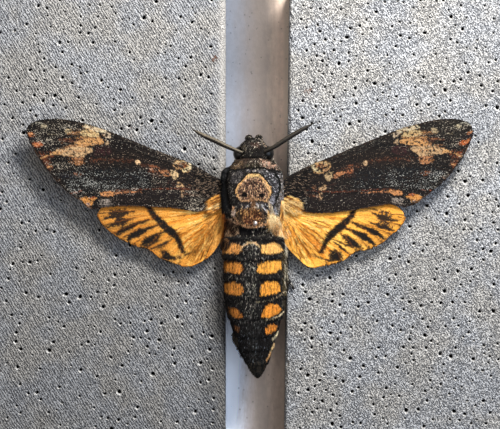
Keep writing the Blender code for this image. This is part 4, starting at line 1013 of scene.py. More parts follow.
def groove_finish():
    """The base: smooth foam strip along the groove, scuffed in patches, with painted light and shade: cool at its left
    side, warm at its right, paler and duller in places.
    """
    f = Finish("groove_foam", roughness=0.62, specular=0.35)
    across = f.node("ShaderNodeSeparateXYZ", {"Vector": f.place()})
    wide = f.noise(f.place(scale=(0.06, 0.03, 0.06)), 1.0, 3.0, 0.6)
    fine = f.noise(f.place(scale=(1, 0.7, 1)), 1.1, 3.0, 0.6)
    scuffs = f.noise(f.place(scale=(1.0, 0.22, 1.0)), 0.8, 3.0, 0.65)
    specks = f.curve(f.cells(f.place(), 0.55), 0.05, 0.16, 0.55, 1.0)
    place = f.maths("ADD", across.outputs[0], f.maths("MULTIPLY", f.maths("SUBTRACT", scuffs, 0.5), 3.0))
    # painted light: the floor is cool at its left, then warm and paler towards its right
    warm = f.curve(place, -6.5, 3.0)
    base = f.mix(warm, tuple(lin(140, 148, 164)), tuple(lin(143, 132, 126)))
    base = f.mix(f.curve(place, 3.5, 8.6), base, tuple(lin(236, 212, 194)))
    base = f.mix(f.curve(wide, 0.35, 0.65), f.mix(0.16, base, (0.1, 0.1, 0.1)), base)
    base = f.mix(f.curve(fine, 0.35, 0.65), f.mix(0.14, base, (0.1, 0.1, 0.1)), base)
    # painted light: a pale band along the foot of the right wall
    base = f.mix(f.curve(across.outputs[0], 8.3, 9.2), base, tuple(lin(214, 196, 180)))
    # painted light and shade: paler at its near left end, duller at the far end and along the right, and paler again
    # near the right wall
    down = across.outputs[1]
    left = f.maths("MULTIPLY", f.curve(down, 24.0, 40.0, 1.10, 0.62), f.curve(down, -34.0, -8.0, 3.10, 1.0))
    left = f.maths("ADD", 1.0, f.maths("MULTIPLY", f.maths("SUBTRACT", left, 1.0), f.curve(across.outputs[0], -9.0, -7.4)))
    right = f.maths("MULTIPLY", f.curve(down, 24.0, 40.0, 0.78, 0.56), f.curve(down, -34.0, -8.0, 1.10, 1.0))
    right = f.maths("MULTIPLY", right, f.curve(across.outputs[0], 5.5, 8.2, 1.0, 1.75))
    right = f.maths("MULTIPLY", right, f.maths("SUBTRACT", 1.0, f.maths("MULTIPLY", f.curve(across.outputs[0], 5.0, 8.0), f.curve(down, -34.0, -8.0, 0.60, 0.0))))
    toward = f.curve(place, -6.5, 3.0)
    painted_light_gain = f.maths("ADD", f.maths("MULTIPLY", left, f.maths("SUBTRACT", 1.0, toward)), f.maths("MULTIPLY", right, toward))
    # painted light: paler at the near left of the floor, over the body's shadow
    base = f.mix(f.maths("MULTIPLY", f.curve(down, -32.0, -10.0, 1.0, 0.0), f.curve(place, -5.5, 0.0, 0.9, 0.0)), base, tuple(lin(176, 181, 190)))
    base = f.mix(1.0, base, f.node("ShaderNodeCombineColor", {"Red": painted_light_gain, "Green": painted_light_gain, "Blue": painted_light_gain}).outputs[0], "MULTIPLY")
    base = f.mix(1.0, base, f.node("ShaderNodeCombineColor", {"Red": specks, "Green": specks, "Blue": specks}).outputs[0], "MULTIPLY")
    base = f.mix(f.curve(f.maths("ABSOLUTE", across.outputs[0]), 11.5, 13.5), base, tuple(lin(150, 150, 151)))
    f.colour(base)
    f.bump((fine, 0.35, 0.12))
    return f.material


def turned(profile, centre, around):
    """Points and faces of a solid turned about an upright axis from (radius, z) rows between two poles, in mm."""
    a = np.linspace(0, 2 * math.pi, around, endpoint=False)
    rings = [np.column_stack([centre[0] + r * np.cos(a), centre[1] + r * np.sin(a), np.full(around, z)]) for r, z in profile[1:-1]]
    points = np.concatenate([[[centre[0], centre[1], profile[0][1]], [centre[0], centre[1], profile[-1][1]]], *rings])
    quads = grid_faces(len(rings), around, 2, wrap=True)
    j = np.arange(around)
    k = (j + 1) % around
    low = np.stack([np.zeros(around, int), 2 + k, 2 + j], -1)
    last = 2 + (len(rings) - 1) * around
    high = np.stack([np.ones(around, int), last + j, last + k], -1)
    return points, [quads, np.concatenate([low, high])]


def insect_pin():
    head = [(0.60 * math.sin(t), 45.40 - 0.60 * math.cos(t)) for t in np.linspace(0.62, math.pi, 13)]
    profile = [(0, 12.0), (0.03, 12.06), (0.10, 12.6), (0.20, 13.8), (0.28, 15.2), (0.29, 17), (0.29, 21), (0.29, 26), (0.29, 32), (0.29, 38), (0.29, 44.84), *head[:-1], (0, 46.0)]
    points, faces = turned(profile, (1.24, -2.10), 24)
    points[:, :2] += 0.012 * np.sin(points[:, 2:3] * 0.7)
    pin = build("pin_drawn", points, faces)
    f = Finish("pin_steel_finish", roughness=0.30, metallic=1.0)
    drawn = f.noise(f.place(scale=(4, 4, 0.15)), 2.0, 2.0)
    f.colour(f.mix(drawn, tuple(lin(196, 186, 184)), tuple(lin(232, 222, 220))))
    f.roughness(f.curve(drawn, 0.3, 0.7, 0.22, 0.40))
    f.bump((drawn, 0.15, 0.02))
    pin.data.materials.append(f.material)
    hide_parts("pin")
    return pin


# ---------------------------------------------------------------------------------------------------------------------
# Body: one skin under the coat

# (y, middle x, half width, top z, z of the widest level, underside z) out to the tips of the coat
BODY = [
    (18.9, 0.95, 0.8, 32.2, 31.0, 29.8), (18.7, 0.98, 1.5, 32.9, 31.2, 29.2), (18.1, 0.95, 2.5, 33.9, 31.4, 28.3), (17.0, 0.80, 3.5, 35.2, 31.7, 27.5), (15.9, 0.85, 4.25, 36.1, 31.9, 27.0), (15.0, 0.9, 4.5, 36.6, 32.0, 26.8),
    (13.9, 0.9, 4.5, 36.9, 32.0, 26.6), (12.9, 1.0, 5.4, 37.5, 32.0, 25.7), (12.1, 1.05, 5.95, 37.8, 32.0, 25.2), (11.4, 1.0, 6.6, 38.05, 32.0, 24.6), (10.2, 0.8, 7.5, 38.5, 32.0, 24.0), (8.5, 0.62, 7.88, 38.8, 32.0, 23.6),
    (5.0, 0.60, 8.05, 39.1, 32.0, 23.2), (1.0, 0.65, 7.98, 38.9, 32.0, 23.2), (-1.5, 0.8, 7.6, 38.3, 32.0, 23.6), (-3.5, 0.85, 7.3, 37.7, 32.0, 24.0), (-5.6, 0.97, 7.6, 37.5, 31.9, 24.3), (-10.0, 1.15, 8.0, 37.9, 31.8, 23.9),
    (-15.5, 1.2, 7.95, 37.9, 31.6, 23.7), (-21.0, 1.25, 7.8, 37.3, 31.4, 23.8), (-25.5, 1.3, 6.9, 36.3, 31.2, 24.4), (-30.0, 1.45, 5.4, 34.9, 31.0, 25.6), (-34.0, 1.6, 4.1, 33.7, 30.7, 26.9), (-37.5, 1.75, 2.6, 32.4, 30.4, 28.2),
    (-39.6, 1.88, 1.25, 31.4, 30.25, 29.1), (-40.3, 1.9, 0.6, 30.8, 30.2, 29.6),
]
RINGS = [-10.6, -15.5, -20.5, -25.3, -29.6, -33.2, -36.6]
DEPTH = [(19.0, 0.22), (17.0, 0.24), (14.5, 0.34), (13.0, 0.38), (10.5, 0.40), (0.0, 0.42), (-4.0, 0.46), (-6.5, 0.40), (-12.0, 0.36), (-30.0, 0.36), (-40.3, 0.22)]
LAPPET = {
    "left": [(-4.6, 12.4), (-5.0, 11.5), (-5.72, 9.7), (-6.12, 7.55), (-6.07, 5.3), (-5.68, 3.55), (-5.1, 1.2)],
    "right": [(5.88, 11.4), (6.6, 10.0), (7.1, 8.45), (7.4, 6.5), (6.95, 4.8), (6.56, 3.55), (6.07, 2.35)],
}
K_BODY = 0.989


def across_body(y):
    return [pchip([(s[0], s[c]) for s in BODY], y) for c in range(1, 6)]


def body_grow(x, y, z, upper):
    """How far the skin stands in from the tips of the coat, with the creases between its parts."""
    grow = -pchip(DEPTH, y)
    grow = grow - 0.60 * np.exp(-(((y - 13.75) / 0.32) ** 2)) - 0.45 * np.exp(-(((y - 11.35 + 0.04 * np.abs(x - 1)) / 0.28) ** 2)) * upper
    for side in ("left", "right"):
        d, _ = to_path(x, y, LAPPET[side])
        grow = grow - 0.55 * np.exp(-((d / 0.34) ** 2)) * upper
    # the rounded rear plate of the thorax ends in a step
    arc = np.abs(x - 1.0)
    rear = -3.1 + 0.045 * arc**2
    grow = grow - 0.85 * upper * smooth(rear, rear - 0.5, y) * smooth(-6.0, -5.2, y)
    # each ring of the abdomen stands a little over the next one
    edges = [-5.9, *RINGS, -40.4]
    saw = np.zeros(np.shape(y))
    for n, (front, back) in enumerate(zip(edges, edges[1:])):
        here = (y <= front) & (y > back)
        share = (front - y) / (front - back)
        lift = 0.34 * share - (0.17 if n else 0.0)
        saw = np.where(here, lift if n < len(edges) - 2 else -0.17 * (1 - share), saw)
    grow = grow + saw * np.minimum(1.0, across_body(y)[1] / 4.0)
    grow = grow + 0.40 * smooth(1.25, 0.7, np.hypot(x - 0.40, (y + 8.5) * 1.15)) * upper
    return grow


def body_grid(count_y, around):
    ys = np.concatenate([np.linspace(18.86, 18.0, 10, endpoint=False), np.linspace(18.0, -39.4, count_y - 20, endpoint=False), np.linspace(-39.4, -40.28, 10)])
    mid, half, top, side, low = across_body(ys)
    a = np.linspace(0, 2 * math.pi, around, endpoint=False)[None, :]
    c, s = np.cos(a), np.sin(a)
    y = np.repeat(ys[:, None], around, 1)
    lower = np.where(ys < -5.7, 1.7, 1.62)[:, None]
    power = np.where(s >= 0, 2.15, lower)
    reach = np.where(s >= 0, (top - side)[:, None], (side - low)[:, None])
    shape_x = np.copysign(np.abs(c) ** (2 / power), c)
    shape_z = np.copysign(np.abs(s) ** (2 / power), s)
    x0 = mid[:, None] + half[:, None] * shape_x
    z0 = side[:, None] + reach * shape_z
    upper = smooth(-0.1, 0.35, np.broadcast_to(s, y.shape))
    grow = body_grow(x0.ravel(), y.ravel(), z0.ravel(), upper.ravel()).reshape(y.shape)
    shoulder = (0.85 * np.exp(-(((ys - 11.0) / 0.9) ** 2)) + 0.45 * np.exp(-(((ys - 9.3) / 1.2) ** 2)))[:, None] * smooth(0.1, -0.85, c) * smooth(-0.55, 0.0, s)
    narrow = 1.05 * np.exp(-(((y - 14.9) / 1.25) ** 2)) * smooth(-0.75, -0.15, np.broadcast_to(s, y.shape))
    grow = np.maximum(grow, -0.72 * np.minimum(half, (top - low) / 2)[:, None])
    return np.stack([mid[:, None] + (half[:, None] + grow - narrow) * shape_x - shoulder, y, side[:, None] + (reach + grow) * shape_z], -1)


def sweep(path, radii, around, rings, flat=1.0):
    """Points and quads of a tapered round limb along a smooth path, with its ends closed by a point."""
    path = np.asarray(path, float)
    keys = np.concatenate([[0], np.cumsum(np.linalg.norm(np.diff(path, axis=0), axis=1))])
    at = np.linspace(0, keys[-1], rings)
    line = np.stack([pchip(list(zip(keys, path[:, c])), at) for c in range(3)], -1)
    radius = np.interp(at, np.linspace(0, keys[-1], len(radii)), radii) if not callable(radii) else radii(at / keys[-1])
    ahead = np.gradient(line, axis=0)
    ahead /= np.linalg.norm(ahead, axis=1)[:, None]
    up = np.array([0, 0, 1.0]) if abs(ahead[0, 2]) < 0.7 else np.array([1.0, 0, 0])
    a = np.linspace(0, 2 * math.pi, around, endpoint=False)
    out, sides, ups = [], [], []
    for p, t, r in zip(line, ahead, radius):
        up = up - t * (up @ t)
        up = up / np.linalg.norm(up)
        side = np.cross(t, up)
        sides.append(side)
        ups.append(up)
        out.append(p + r * (np.cos(a)[:, None] * side * flat + np.sin(a)[:, None] * up))
    points = np.concatenate([*out, [line[0] - ahead[0] * radius[0] * 0.6], [line[-1] + ahead[-1] * radius[-1] * 0.6]])
    quads = grid_faces(rings, around, 0, flip=True, wrap=True)
    j = np.arange(around)
    k = (j + 1) % around
    n = rings * around
    caps = np.concatenate([np.stack([j, k, np.full(around, n)], -1), np.stack([(rings - 1) * around + k, (rings - 1) * around + j, np.full(around, n + 1)], -1)])
    return points, [quads, caps], line, ahead, np.array(sides), np.array(ups), radius


PALP_PATH = [(15.4, 26.6), (17.0, 26.3), (18.4, 27.5), (18.85, 29.6), (18.8, 31.6), (18.6, 33.2)]
PALP_X = {"left": -0.25, "right": 2.20}
EYE_AT = {"left": (-2.42, 14.75, 31.4), "right": (4.16, 14.85, 31.4)}


def skin_mesh():
    grid = body_grid(300, 132)
    rows, around = grid.shape[:2]
    ends = np.array([[0.95, 18.93, 31.0], [1.9, -40.36, 30.2]])
    points = np.concatenate([grid.reshape(-1, 3), ends])
    j = np.arange(around)
    k = (j + 1) % around
    n = rows * around
    faces = [grid_faces(rows, around, 0, wrap=True), np.concatenate([np.stack([k, j, np.full(around, n)], -1), np.stack([(rows - 1) * around + j, (rows - 1) * around + k, np.full(around, n + 1)], -1)])]
    parts = [build("skin", points, faces)]
    for side in ("left", "right"):
        path = [(PALP_X[side], y, z) for y, z in PALP_PATH]
        made = sweep(path, [0.45, 0.64, 0.80, 0.88, 0.84, 0.50], 22, 34)
        parts.append(build(f"palp_core_{side}", made[0], made[1]))
    bpy.ops.object.select_all(action="DESELECT")
    for p in parts:
        p.select_set(True)
    bpy.context.view_layer.objects.active = parts[0]
    bpy.ops.object.join()
    skin = parts[0]
    bm = bmesh.new()
    bm.from_mesh(skin.data)
    bmesh.ops.recalc_face_normals(bm, faces=bm.faces)
    bm.to_mesh(skin.data)
    bm.free()
    step = skin.modifiers.new("one_skin", "REMESH")
    step.mode = "VOXEL"
    step.voxel_size = 0.24 * MM
    step.use_smooth_shade = True
    bpy.ops.object.modifier_apply(modifier="one_skin")
    n = len(skin.data.vertices)
    co = np.zeros(n * 3, np.float32)
    normal = np.zeros(n * 3, np.float32)
    skin.data.vertices.foreach_get("co", co)
    skin.data.vertices.foreach_get("normal", normal)
    skin.data.calc_loop_triangles()
    tris = np.zeros(len(skin.data.loop_triangles) * 3, np.int32)
    skin.data.loop_triangles.foreach_get("vertices", tris)
    return skin, co.reshape(-1, 3) / MM, normal.reshape(-1, 3), tris.reshape(-1, 3)


def unwrap(x, y, z):
    """The skin cut along the belly and rolled flat."""
    mid, half, top, side, low = across_body(np.clip(y, -40.3, 18.9))
    a = np.arctan2((x - mid) / np.maximum(half, 0.3), (z - side) / np.maximum((top - low) / 2, 0.3))
    return np.stack([0.5 + 0.48 * a / math.pi, 0.02 + 0.96 * (y + 41.0) / 61.0], -1)


def body_shades(x, y, z, nz):
    """Ground colour, and how many pale and dark scales break it up."""
    u = 250.0 + x / (UNIT * K_BODY)
    v = 214.5 - y / (UNIT * K_BODY)
    m = Marks(u, v, lin(27, 24, 22), wobble=0.7, grain=0.6, seed=21)
    hush = np.zeros(len(u))
    # painted light and shade: the right half of the body gets more pale scales than the left
    pale = np.where(u < 250, 0.06, 0.20)
    pale_colour = np.tile(lin(186, 176, 160), (len(u), 1))
    clump = fbm(x * 1.3, y * 1.3, z * 1.3, 3, 31)

    def tint(mask, colour):
        mask = np.clip(mask, 0, 1)[:, None]
        pale_colour[:] = pale_colour * (1 - mask) + np.asarray(colour) * mask

    def area(points, soft=1.2):
        return smooth(soft, -soft, to_shape(m.u, m.v, points))

    abdomen = smooth(234, 238, v)
    # head
    head = smooth(159.5, 157.5, v)
    m.lay(head, lin(30, 27, 24), 1, 0)
    m.blob(256, 144, 4.5, 3.2, lin(70, 50, 42), 0.6, 0, 0.7)
    m.blob(243, 148, 3.5, 3.0, lin(84, 76, 62), 0.6, 0, 0.5)
    m.line([(262.6, 138.5), (264.4, 142.6), (267.4, 146.6)], [0.4, 0.6, 0.4], lin(150, 130, 112), 0.7, 0.8, 0.7)
    m.line([(238, 148), (244, 152.5), (252, 154), (262, 153.5), (270, 149)], 1.2, lin(30, 27, 26), 1.0, 0.6)
    hush = np.maximum(hush, m.line([(237, 159.6), (244, 158.4), (254, 157.8), (264, 158.4), (270, 159.8)], 1.3, lin(10, 9, 9), 0.8, 1, 0))
    pale = np.where(head > 0.5, 0.095, pale)
    # collar
    collar = [(236, 159), (245, 158.4), (263, 158.4), (271, 160), (279, 165), (281, 170), (270, 169.6), (255, 167.6), (243, 168.8), (229, 170), (229.4, 165.6)]
    m.shape(collar, lin(58, 46, 38), 0.8, 1, 0.3)
    m.shape([(231, 164), (238, 160.4), (246, 160.2), (244, 167), (232, 168.6)], lin(104, 84, 62), 1.2, 0.55)
    m.shape([(260, 160), (270, 160.6), (278, 165.4), (279, 169), (266, 168), (259, 165)], lin(196, 156, 132), 1.4, 0.62, 1.0)
    m.blob(252, 165.5, 8, 2.2, lin(60, 58, 44), 0.5, 0, 0.6)
    hush = np.maximum(hush, m.line([(228, 170), (236, 170.2), (246, 168.6), (256, 167.6), (264, 168.4), (271, 169.8), (280, 171)], [1.0, 1.0, 0.9, 0.9, 1.0, 1.2, 1.0], lin(9, 8, 8), 0.6, 1.0, 0))
    # thorax: bluish grey and paler on the right of the mark as painted light, blacker on the left as painted shade
    m.shape([(262, 170), (274, 172), (280, 180), (281, 190), (277, 202), (270, 208), (266, 200), (271, 191), (266, 180)], lin(60, 59, 62), 2, 0.7, 0.5)
    tint(area([(262, 168), (284, 172), (287, 200), (276, 212), (262, 205)], 3), lin(178, 176, 180))
    m.shape([(280, 172), (284, 178), (287, 190), (286, 205), (279, 216), (275, 206), (279, 197), (281.6, 187)], lin(98, 90, 84), 1.6, 0.8)
    m.shape([(269, 198), (276, 196), (274, 206), (280, 214), (274, 216), (268, 205)], lin(124, 124, 132), 1.6, 0.8)
    m.shape([(231, 172), (240, 171), (244, 176), (236, 184), (231, 182)], lin(72, 68, 68), 2, 0.7)
    hush = np.maximum(hush, 0.45 * m.shape([(217, 168), (227, 165), (228.6, 168), (226, 175), (224.4, 184), (224.4, 193), (226.4, 200), (227, 212), (221, 212), (216, 190)], lin(24, 26, 29), 1.2, 0.95))
    m.line([(246, 171.4), (254, 170.6), (262, 171.6)], 1.0, lin(96, 92, 96), 1.0, 0.6)
    hush = np.maximum(hush, m.line([(229.9, 167), (226.8, 175), (225.0, 184), (225.0, 193), (226.8, 199.6), (229, 209)], [0.9, 1.1, 1.1, 1.1, 1.2, 0.8], lin(8, 8, 9), 0.6, 1.0, 0))
    hush = np.maximum(hush, m.line([(274.4, 172.4), (277.4, 176.4), (279.8, 181), (281.4, 187), (279.4, 192.6), (277.4, 198), (275.4, 204)], [0.9, 1.2, 1.2, 1.2, 1.1, 1.2, 0.8], lin(8, 8, 8), 0.6, 1.0, 0))
    # the skull-like mark
    skull = [(250, 173.6), (256, 173.4), (260.6, 174.9), (263.4, 178.2), (266.6, 181.8), (270.2, 186.4), (271.4, 191), (270.6, 195.6), (268.6, 199.4), (267, 202.4), (262, 201.2), (257, 200.6), (250, 201.6), (244, 201.6), (240.4, 201), (237.6, 198), (235.3, 192), (235.8, 188.4), (238.8, 184.4), (242, 180.4), (246, 176.6)]
    d = to_shape(m.u, m.v, skull)
    hush = np.maximum(hush, m.lay(smooth(2.0, 0.5, d) * smooth(-0.6, 0.4, d), lin(12, 10, 10), 0.85, 0.2))
    m.lay(smooth(0.5, -0.5, d), lin(164, 128, 94), 1, 0.4)
    inner = smooth(-2.0, -3.6, d)
    deep_in = smooth(-1.4, -2.8, d)
    m.lay(deep_in, lin(78, 54, 44), 0.94, 0.3)
    tint(deep_in, lin(200, 164, 130))
    pale = pale * (1 - smooth(1.0, -0.5, d)) + 0.27 * deep_in
    m.lay(inner * smooth(0.42, 0.6, noise(u * 0.62, v * 0.62, 0, 51)), lin(78, 52, 42), 0.8, 0.6)
    m.lay(inner * smooth(0.55, 0.72, noise(u * 0.7 + 40, v * 0.7, 0, 52)), lin(44, 30, 28), 0.75, 0.6)
    m.lay(smooth(0.3, -0.6, d) * smooth(-2.6, -1.2, d) * smooth(200, 190, v), lin(232, 184, 124), 0.95, 0.6)
    m.shape([(249, 173.8), (256, 173.5), (261, 175), (263.4, 178.2), (260, 177.2), (255, 177.2), (250, 177.4), (246.4, 179.2), (246.6, 176.8)], lin(250, 212, 144), 0.8, 0.95, 0.35)
    m.shape([(262, 177), (266, 181.6), (270, 187), (270.6, 193), (267, 190), (264, 184)], lin(240, 196, 138), 0.9, 0.8, 0.4)
    m.line([(251, 198), (254, 204), (254, 211)], [2.6, 2.6, 3.4], lin(124, 90, 62), 1.0, 0.9, 0.9)
    m.shape([(239.6, 201.6), (249.4, 202), (250.4, 207), (248, 210.6), (240, 210), (237, 206)], lin(40, 36, 36), 1.1, 0.95)
    m.shape([(257.6, 202), (267, 202.6), (270, 208), (269, 213), (262, 211.6), (257.6, 208.6)], lin(44, 41, 44), 1.1, 0.95)
    m.blob(247, 205.8, 1.6, 1.0, lin(176, 172, 172), 0.6, -30, 0.85, 0.4)
    m.line([(256.6, 203.6), (258.6, 207)], 0.8, lin(176, 172, 174), 0.7, 0.8, 0.4)
    m.line([(262, 206), (268, 212)], 0.7, lin(150, 150, 160), 0.7, 0.8, 0.4)
    for cu, cv in ((244.8, 194.8), (261.6, 195.4)):
        hush = np.maximum(hush, m.blob(cu, cv, 2.9, 2.6, lin(6, 4, 4), 0.15, 0, 1, 0))
    m.line([(268.6, 199), (269.2, 206), (271.6, 211.6), (275.6, 219.4)], [0.4, 0.6, 0.6, 0.5], lin(220, 190, 150), 0.6, 0.8, 0.3)
    # rear plate: rusty, with a pale rear edge
    m.shape([(236, 209), (244, 210), (250, 209), (258, 209), (264, 212), (266, 220), (262, 226), (252, 227.6), (242, 225), (236, 219), (233.6, 213)], lin(78, 62, 48), 1.4, 0.8)
    plate = m.shape([(241, 211), (250, 209.4), (259, 210.4), (262, 216), (260, 222), (253, 225), (244, 222.6), (240.6, 217)], lin(84, 50, 30), 1.3, 0.9, 0.85)
    whole = area([(236, 208), (250, 207), (264, 210), (266, 220), (262, 226), (252, 228), (241, 225), (235, 218)], 1.5)
    tint(whole, lin(206, 156, 98))
    pale = pale * (1 - whole) + 0.15 * whole + 0.08 * plate
    m.shape([(243, 218), (253, 216), (261, 218), (259, 224), (252, 226), (245, 224)], lin(98, 60, 44), 1.2, 0.75, 0.85)
    m.line([(233.4, 207), (232.2, 213), (234.6, 219.4), (239.6, 224), (246.6, 227.2), (255, 227.4), (262, 225.4), (268, 224)], [1.2, 1.3, 1.0, 0.9, 1.1, 1.2, 1.3, 1.6], lin(188, 142, 104), 0.7, 0.9, 0.5)
    m.blob(233.4, 213.5, 2.0, 4.5, lin(192, 168, 152), 0.5, 0, 0.75, 0.7)
    m.blob(255, 223.8, 2.3, 2.0, lin(46, 22, 20), 0.4, 0, 0.9, 0.2)
    m.shape([(268, 211), (274, 213), (281, 219), (286, 228), (285, 236), (276, 236), (270, 229), (267, 221)], lin(240, 192, 128), 1.6, 0.95, 0.5)
    m.lay(area([(268, 211), (274, 213), (281, 219), (286, 228), (285, 236), (276, 236), (270, 229), (267, 221)], 1.0) * smooth(0.60, 0.72, noise(u * 0.9, v * 0.3, 0, 57)), lin(120, 66, 30), 0.8, 0)
    m.shape([(222, 221), (231, 219), (238, 226), (240, 232), (233, 237), (224, 236)], lin(168, 134, 106), 1.6, 0.9, 0.6)
    hush = np.maximum(hush, 0.45 * m.shape([(236, 227), (242, 228.4), (252, 229.6), (262, 228.4), (265, 230), (264, 234.6), (252, 237), (240, 235)], lin(16, 14, 14), 1.8, 1, 0.3))
    # abdomen: black, with orange patches on each side of a grey middle stripe; the left patches get darker colours and
    # the right lighter ones, as painted shade and light
    m.lay(abdomen, lin(20, 18, 18), 1, 0)
    m.shape([(243.6, 236), (259, 236), (259.4, 262), (257.4, 280), (260, 300), (260, 330), (256, 360), (250, 360), (244, 330), (243, 300), (245, 280), (243.4, 262)], lin(30, 29, 28), 1.6, 0.8, 0.5)
    left_hue_shaded, right_hue_lit = lin(192, 126, 54), lin(246, 176, 76)
    hair = fbm(u * 1.5, v * 0.09, 4, 2, 61)
    for shape, colour in (
        ([(228, 243.6), (236, 242.4), (242, 245.6), (241.4, 250), (238.6, 254.4), (229, 254.6), (220.6, 253.6), (223, 247)], lin(214, 150, 80)),
        ([(261, 244.6), (268, 243.4), (273, 242), (279, 244), (282, 248), (283, 250.6), (280, 253.2), (270, 254.4), (262, 254)], lin(246, 190, 110)),
        ([(223, 262), (232, 261.4), (240, 262.6), (243.2, 266), (242.6, 272), (240, 274.4), (232, 273.4), (224, 272)], left_hue_shaded),
        ([(261, 263.4), (267, 261.4), (276, 260.4), (281.4, 261), (281, 269), (276, 272.6), (267, 274), (260, 273.2), (257, 271), (258.6, 266)], right_hue_lit),
        ([(224, 283), (233, 281.4), (240, 282.6), (242.6, 286), (243.2, 294), (240, 296.6), (231, 295.4), (223.6, 293)], left_hue_shaded),
        ([(261.6, 283), (268, 281.4), (278, 281), (279.4, 283), (280, 291), (276, 293.6), (268, 295.6), (260, 297), (260.6, 290)], lin(238, 164, 66)),
        ([(228, 308), (234, 307.4), (238, 310), (240.4, 314), (242.4, 318), (238, 319.2), (232, 317.6), (229, 313)], lin(166, 104, 44)),
        ([(263.6, 310), (266, 305), (270, 302), (278, 304), (282, 309), (281, 313), (275, 316.6), (268, 318.8), (261.6, 319.4)], lin(234, 152, 58)),
        ([(233.6, 325), (237.4, 325.6), (239.6, 332), (237.6, 334.6), (234.8, 331)], lin(104, 66, 34)),
        ([(265.6, 331), (268, 325.4), (274, 324.4), (279, 326), (277, 331), (271, 334.8), (266.6, 335)], lin(220, 138, 54)),
    ):
        level = (min(p[1] for p in shape) + max(p[1] for p in shape)) / 2
        mask = m.shape([(p, level - 0.2 + (q - level) * 0.84) for p, q in shape], colour, 1.1, 1, 0.5)
        m.lay(mask * smooth(0.55, 0.75, hair), colour * 1.35, 0.7, 0)
        m.lay(mask * smooth(0.46, 0.36, hair), colour * 0.40, 0.85, 0)
        pale = pale * (1 - mask)
    m.line([(220, 241), (226, 243), (224, 252)], 1.4, lin(90, 60, 36), 1.0, 0.6)
    m.blob(251.6, 249.6, 8.6, 6.8, lin(24, 22, 23), 0.16, 0, 1, 0.15)
    m.line([(240.6, 249.6), (242.6, 246.2), (246, 243.8), (250.6, 242.4), (255.6, 243), (259.6, 246.4)], [0.6, 0.8, 0.7, 0.8, 0.7, 0.5], lin(216, 182, 134), 0.6, 0.9, 0.4)
    m.shape([(282.6, 250), (286, 251), (288.6, 262), (289, 290), (285, 296), (283, 291), (283.6, 270)], lin(80, 68, 46), 1.4, 0.8, 0.75)
    m.line([(256, 302.2), (264, 301.8), (271, 300.0), (279, 295.8), (286, 291.4)], [0.0, 0.0, 0.05, 0.15, 0.25], lin(255, 228, 184), 0.35, 0.9, 0.1)
    m.line([(264, 320.6), (270, 319.4), (278, 317.2), (287, 311.6)], [0.0, 0.1, 0.35, 0.7], lin(255, 234, 190), 0.4, 1.0, 0.1)
    m.line([(273.6, 341), (280.4, 333)], [0.6, 1.1], lin(255, 236, 190), 0.7, 1.0, 0.2)
    m.line([(270, 358), (275.6, 345.4)], [0.7, 1.1], lin(244, 206, 150), 0.7, 1.0, 0.2)
    m.line([(262, 374), (268, 361), (271.6, 355)], [0.6, 0.7, 0.7], lin(190, 140, 90), 0.7, 0.95, 0.3)
    m.shape([(283, 300), (288, 300), (288, 309), (283, 309)], lin(60, 52, 40), 1, 0.6)
    for row in (257.5, 277.6, 300.6, 321):
        m.line([(236, row + 1.0), (252, row + 1.6), (268, row)], 0.45, lin(112, 108, 102), 0.5, 0.45, 0.7)
        m.line([(226, row + 1.6), (252, row + 3.0), (278, row + 0.8)], 0.6, lin(10, 9, 9), 0.6, 0.8, 0.2)
    stripe = smooth(2, -2, np.abs(u - 251.3) - np.where(v < 262, 7.5, 5.6)) * abdomen * smooth(330, 300, v)
    for row in (240.0, 258.0, 278.0, 300.0, 321.5):
        stripe = stripe * (1 - 0.9 * smooth(3.8, 2.2, np.abs(v - row - 0.4)))
    pale = np.where(abdomen > 0.5, 0.06, pale) * (1 - smooth(0.10, 0.28, m.colour[:, 0]) * (abdomen > 0.5)) + 0.17 * stripe
    tint(abdomen * smooth(300, 340, v), lin(120, 128, 136))
    tint(abdomen * smooth(330, 300, v) * 0.7, lin(140, 138, 128))
    # underside: ochre fur with dusky bands
    _, half, top, side, low = across_body(np.clip(y, -40.3, 18.9))
    under = smooth(0.6, -1.4, z - side)
    belly = Marks(u, v, lin(172, 124, 64), wobble=0.9, grain=0.5, seed=33)
    for front in [-5.9, *RINGS]:
        belly.lay(smooth(0.75, 0.2, np.abs(y - front + 0.5)), lin(58, 44, 32), 0.8, 0.5)
    belly.lay(smooth(1.0, 0.2, np.abs(x - 1.2)) * (y < -6), lin(70, 52, 36), 0.7, 0.5)
    belly.lay(smooth(-4, -2, y), lin(150, 108, 62), 0.8, 0.3)
    belly.lay(smooth(11, 14, y), lin(112, 84, 60), 0.9, 0.3)
    under = (under * (0.75 + 0.5 * (clump - 0.5)))[:, None]
    colour = m.colour * (1 - under) + belly.colour * under
    return colour, pale * (1 - hush), pale_colour, clump


def finished_shades(x, y, z, nz, seed):
    """The same markings for skin and coat: ground, broken by pale and dark scales in small clumps."""
    colour, pale, pale_colour, clump = body_shades(x, y, z, nz)
    spots = noise(x * 4.6, y * 4.6, z * 4.6, 71) * 0.62 + noise(x * 9.1, y * 9.1, z * 9.1, 72) * 0.38
    light = smooth(0.5, 0.55, spots + (pale - 0.42) * 0.55) * smooth(0.02, 0.10, pale)
    colour = colour * (1 - 0.92 * light[:, None]) + pale_colour * 0.92 * light[:, None] * (0.6 + 0.7 * clump[:, None])
    dark = smooth(0.42, 0.35, spots) * (1 - 0.6 * smooth(0.25, 0.5, colour[:, 0]) * (y < -6))
    colour = colour * (1 - 0.75 * dark[:, None])
    return colour


# ---------------------------------------------------------------------------------------------------------------------
# Coat: thin, bent, three-sided tufts lying along the body


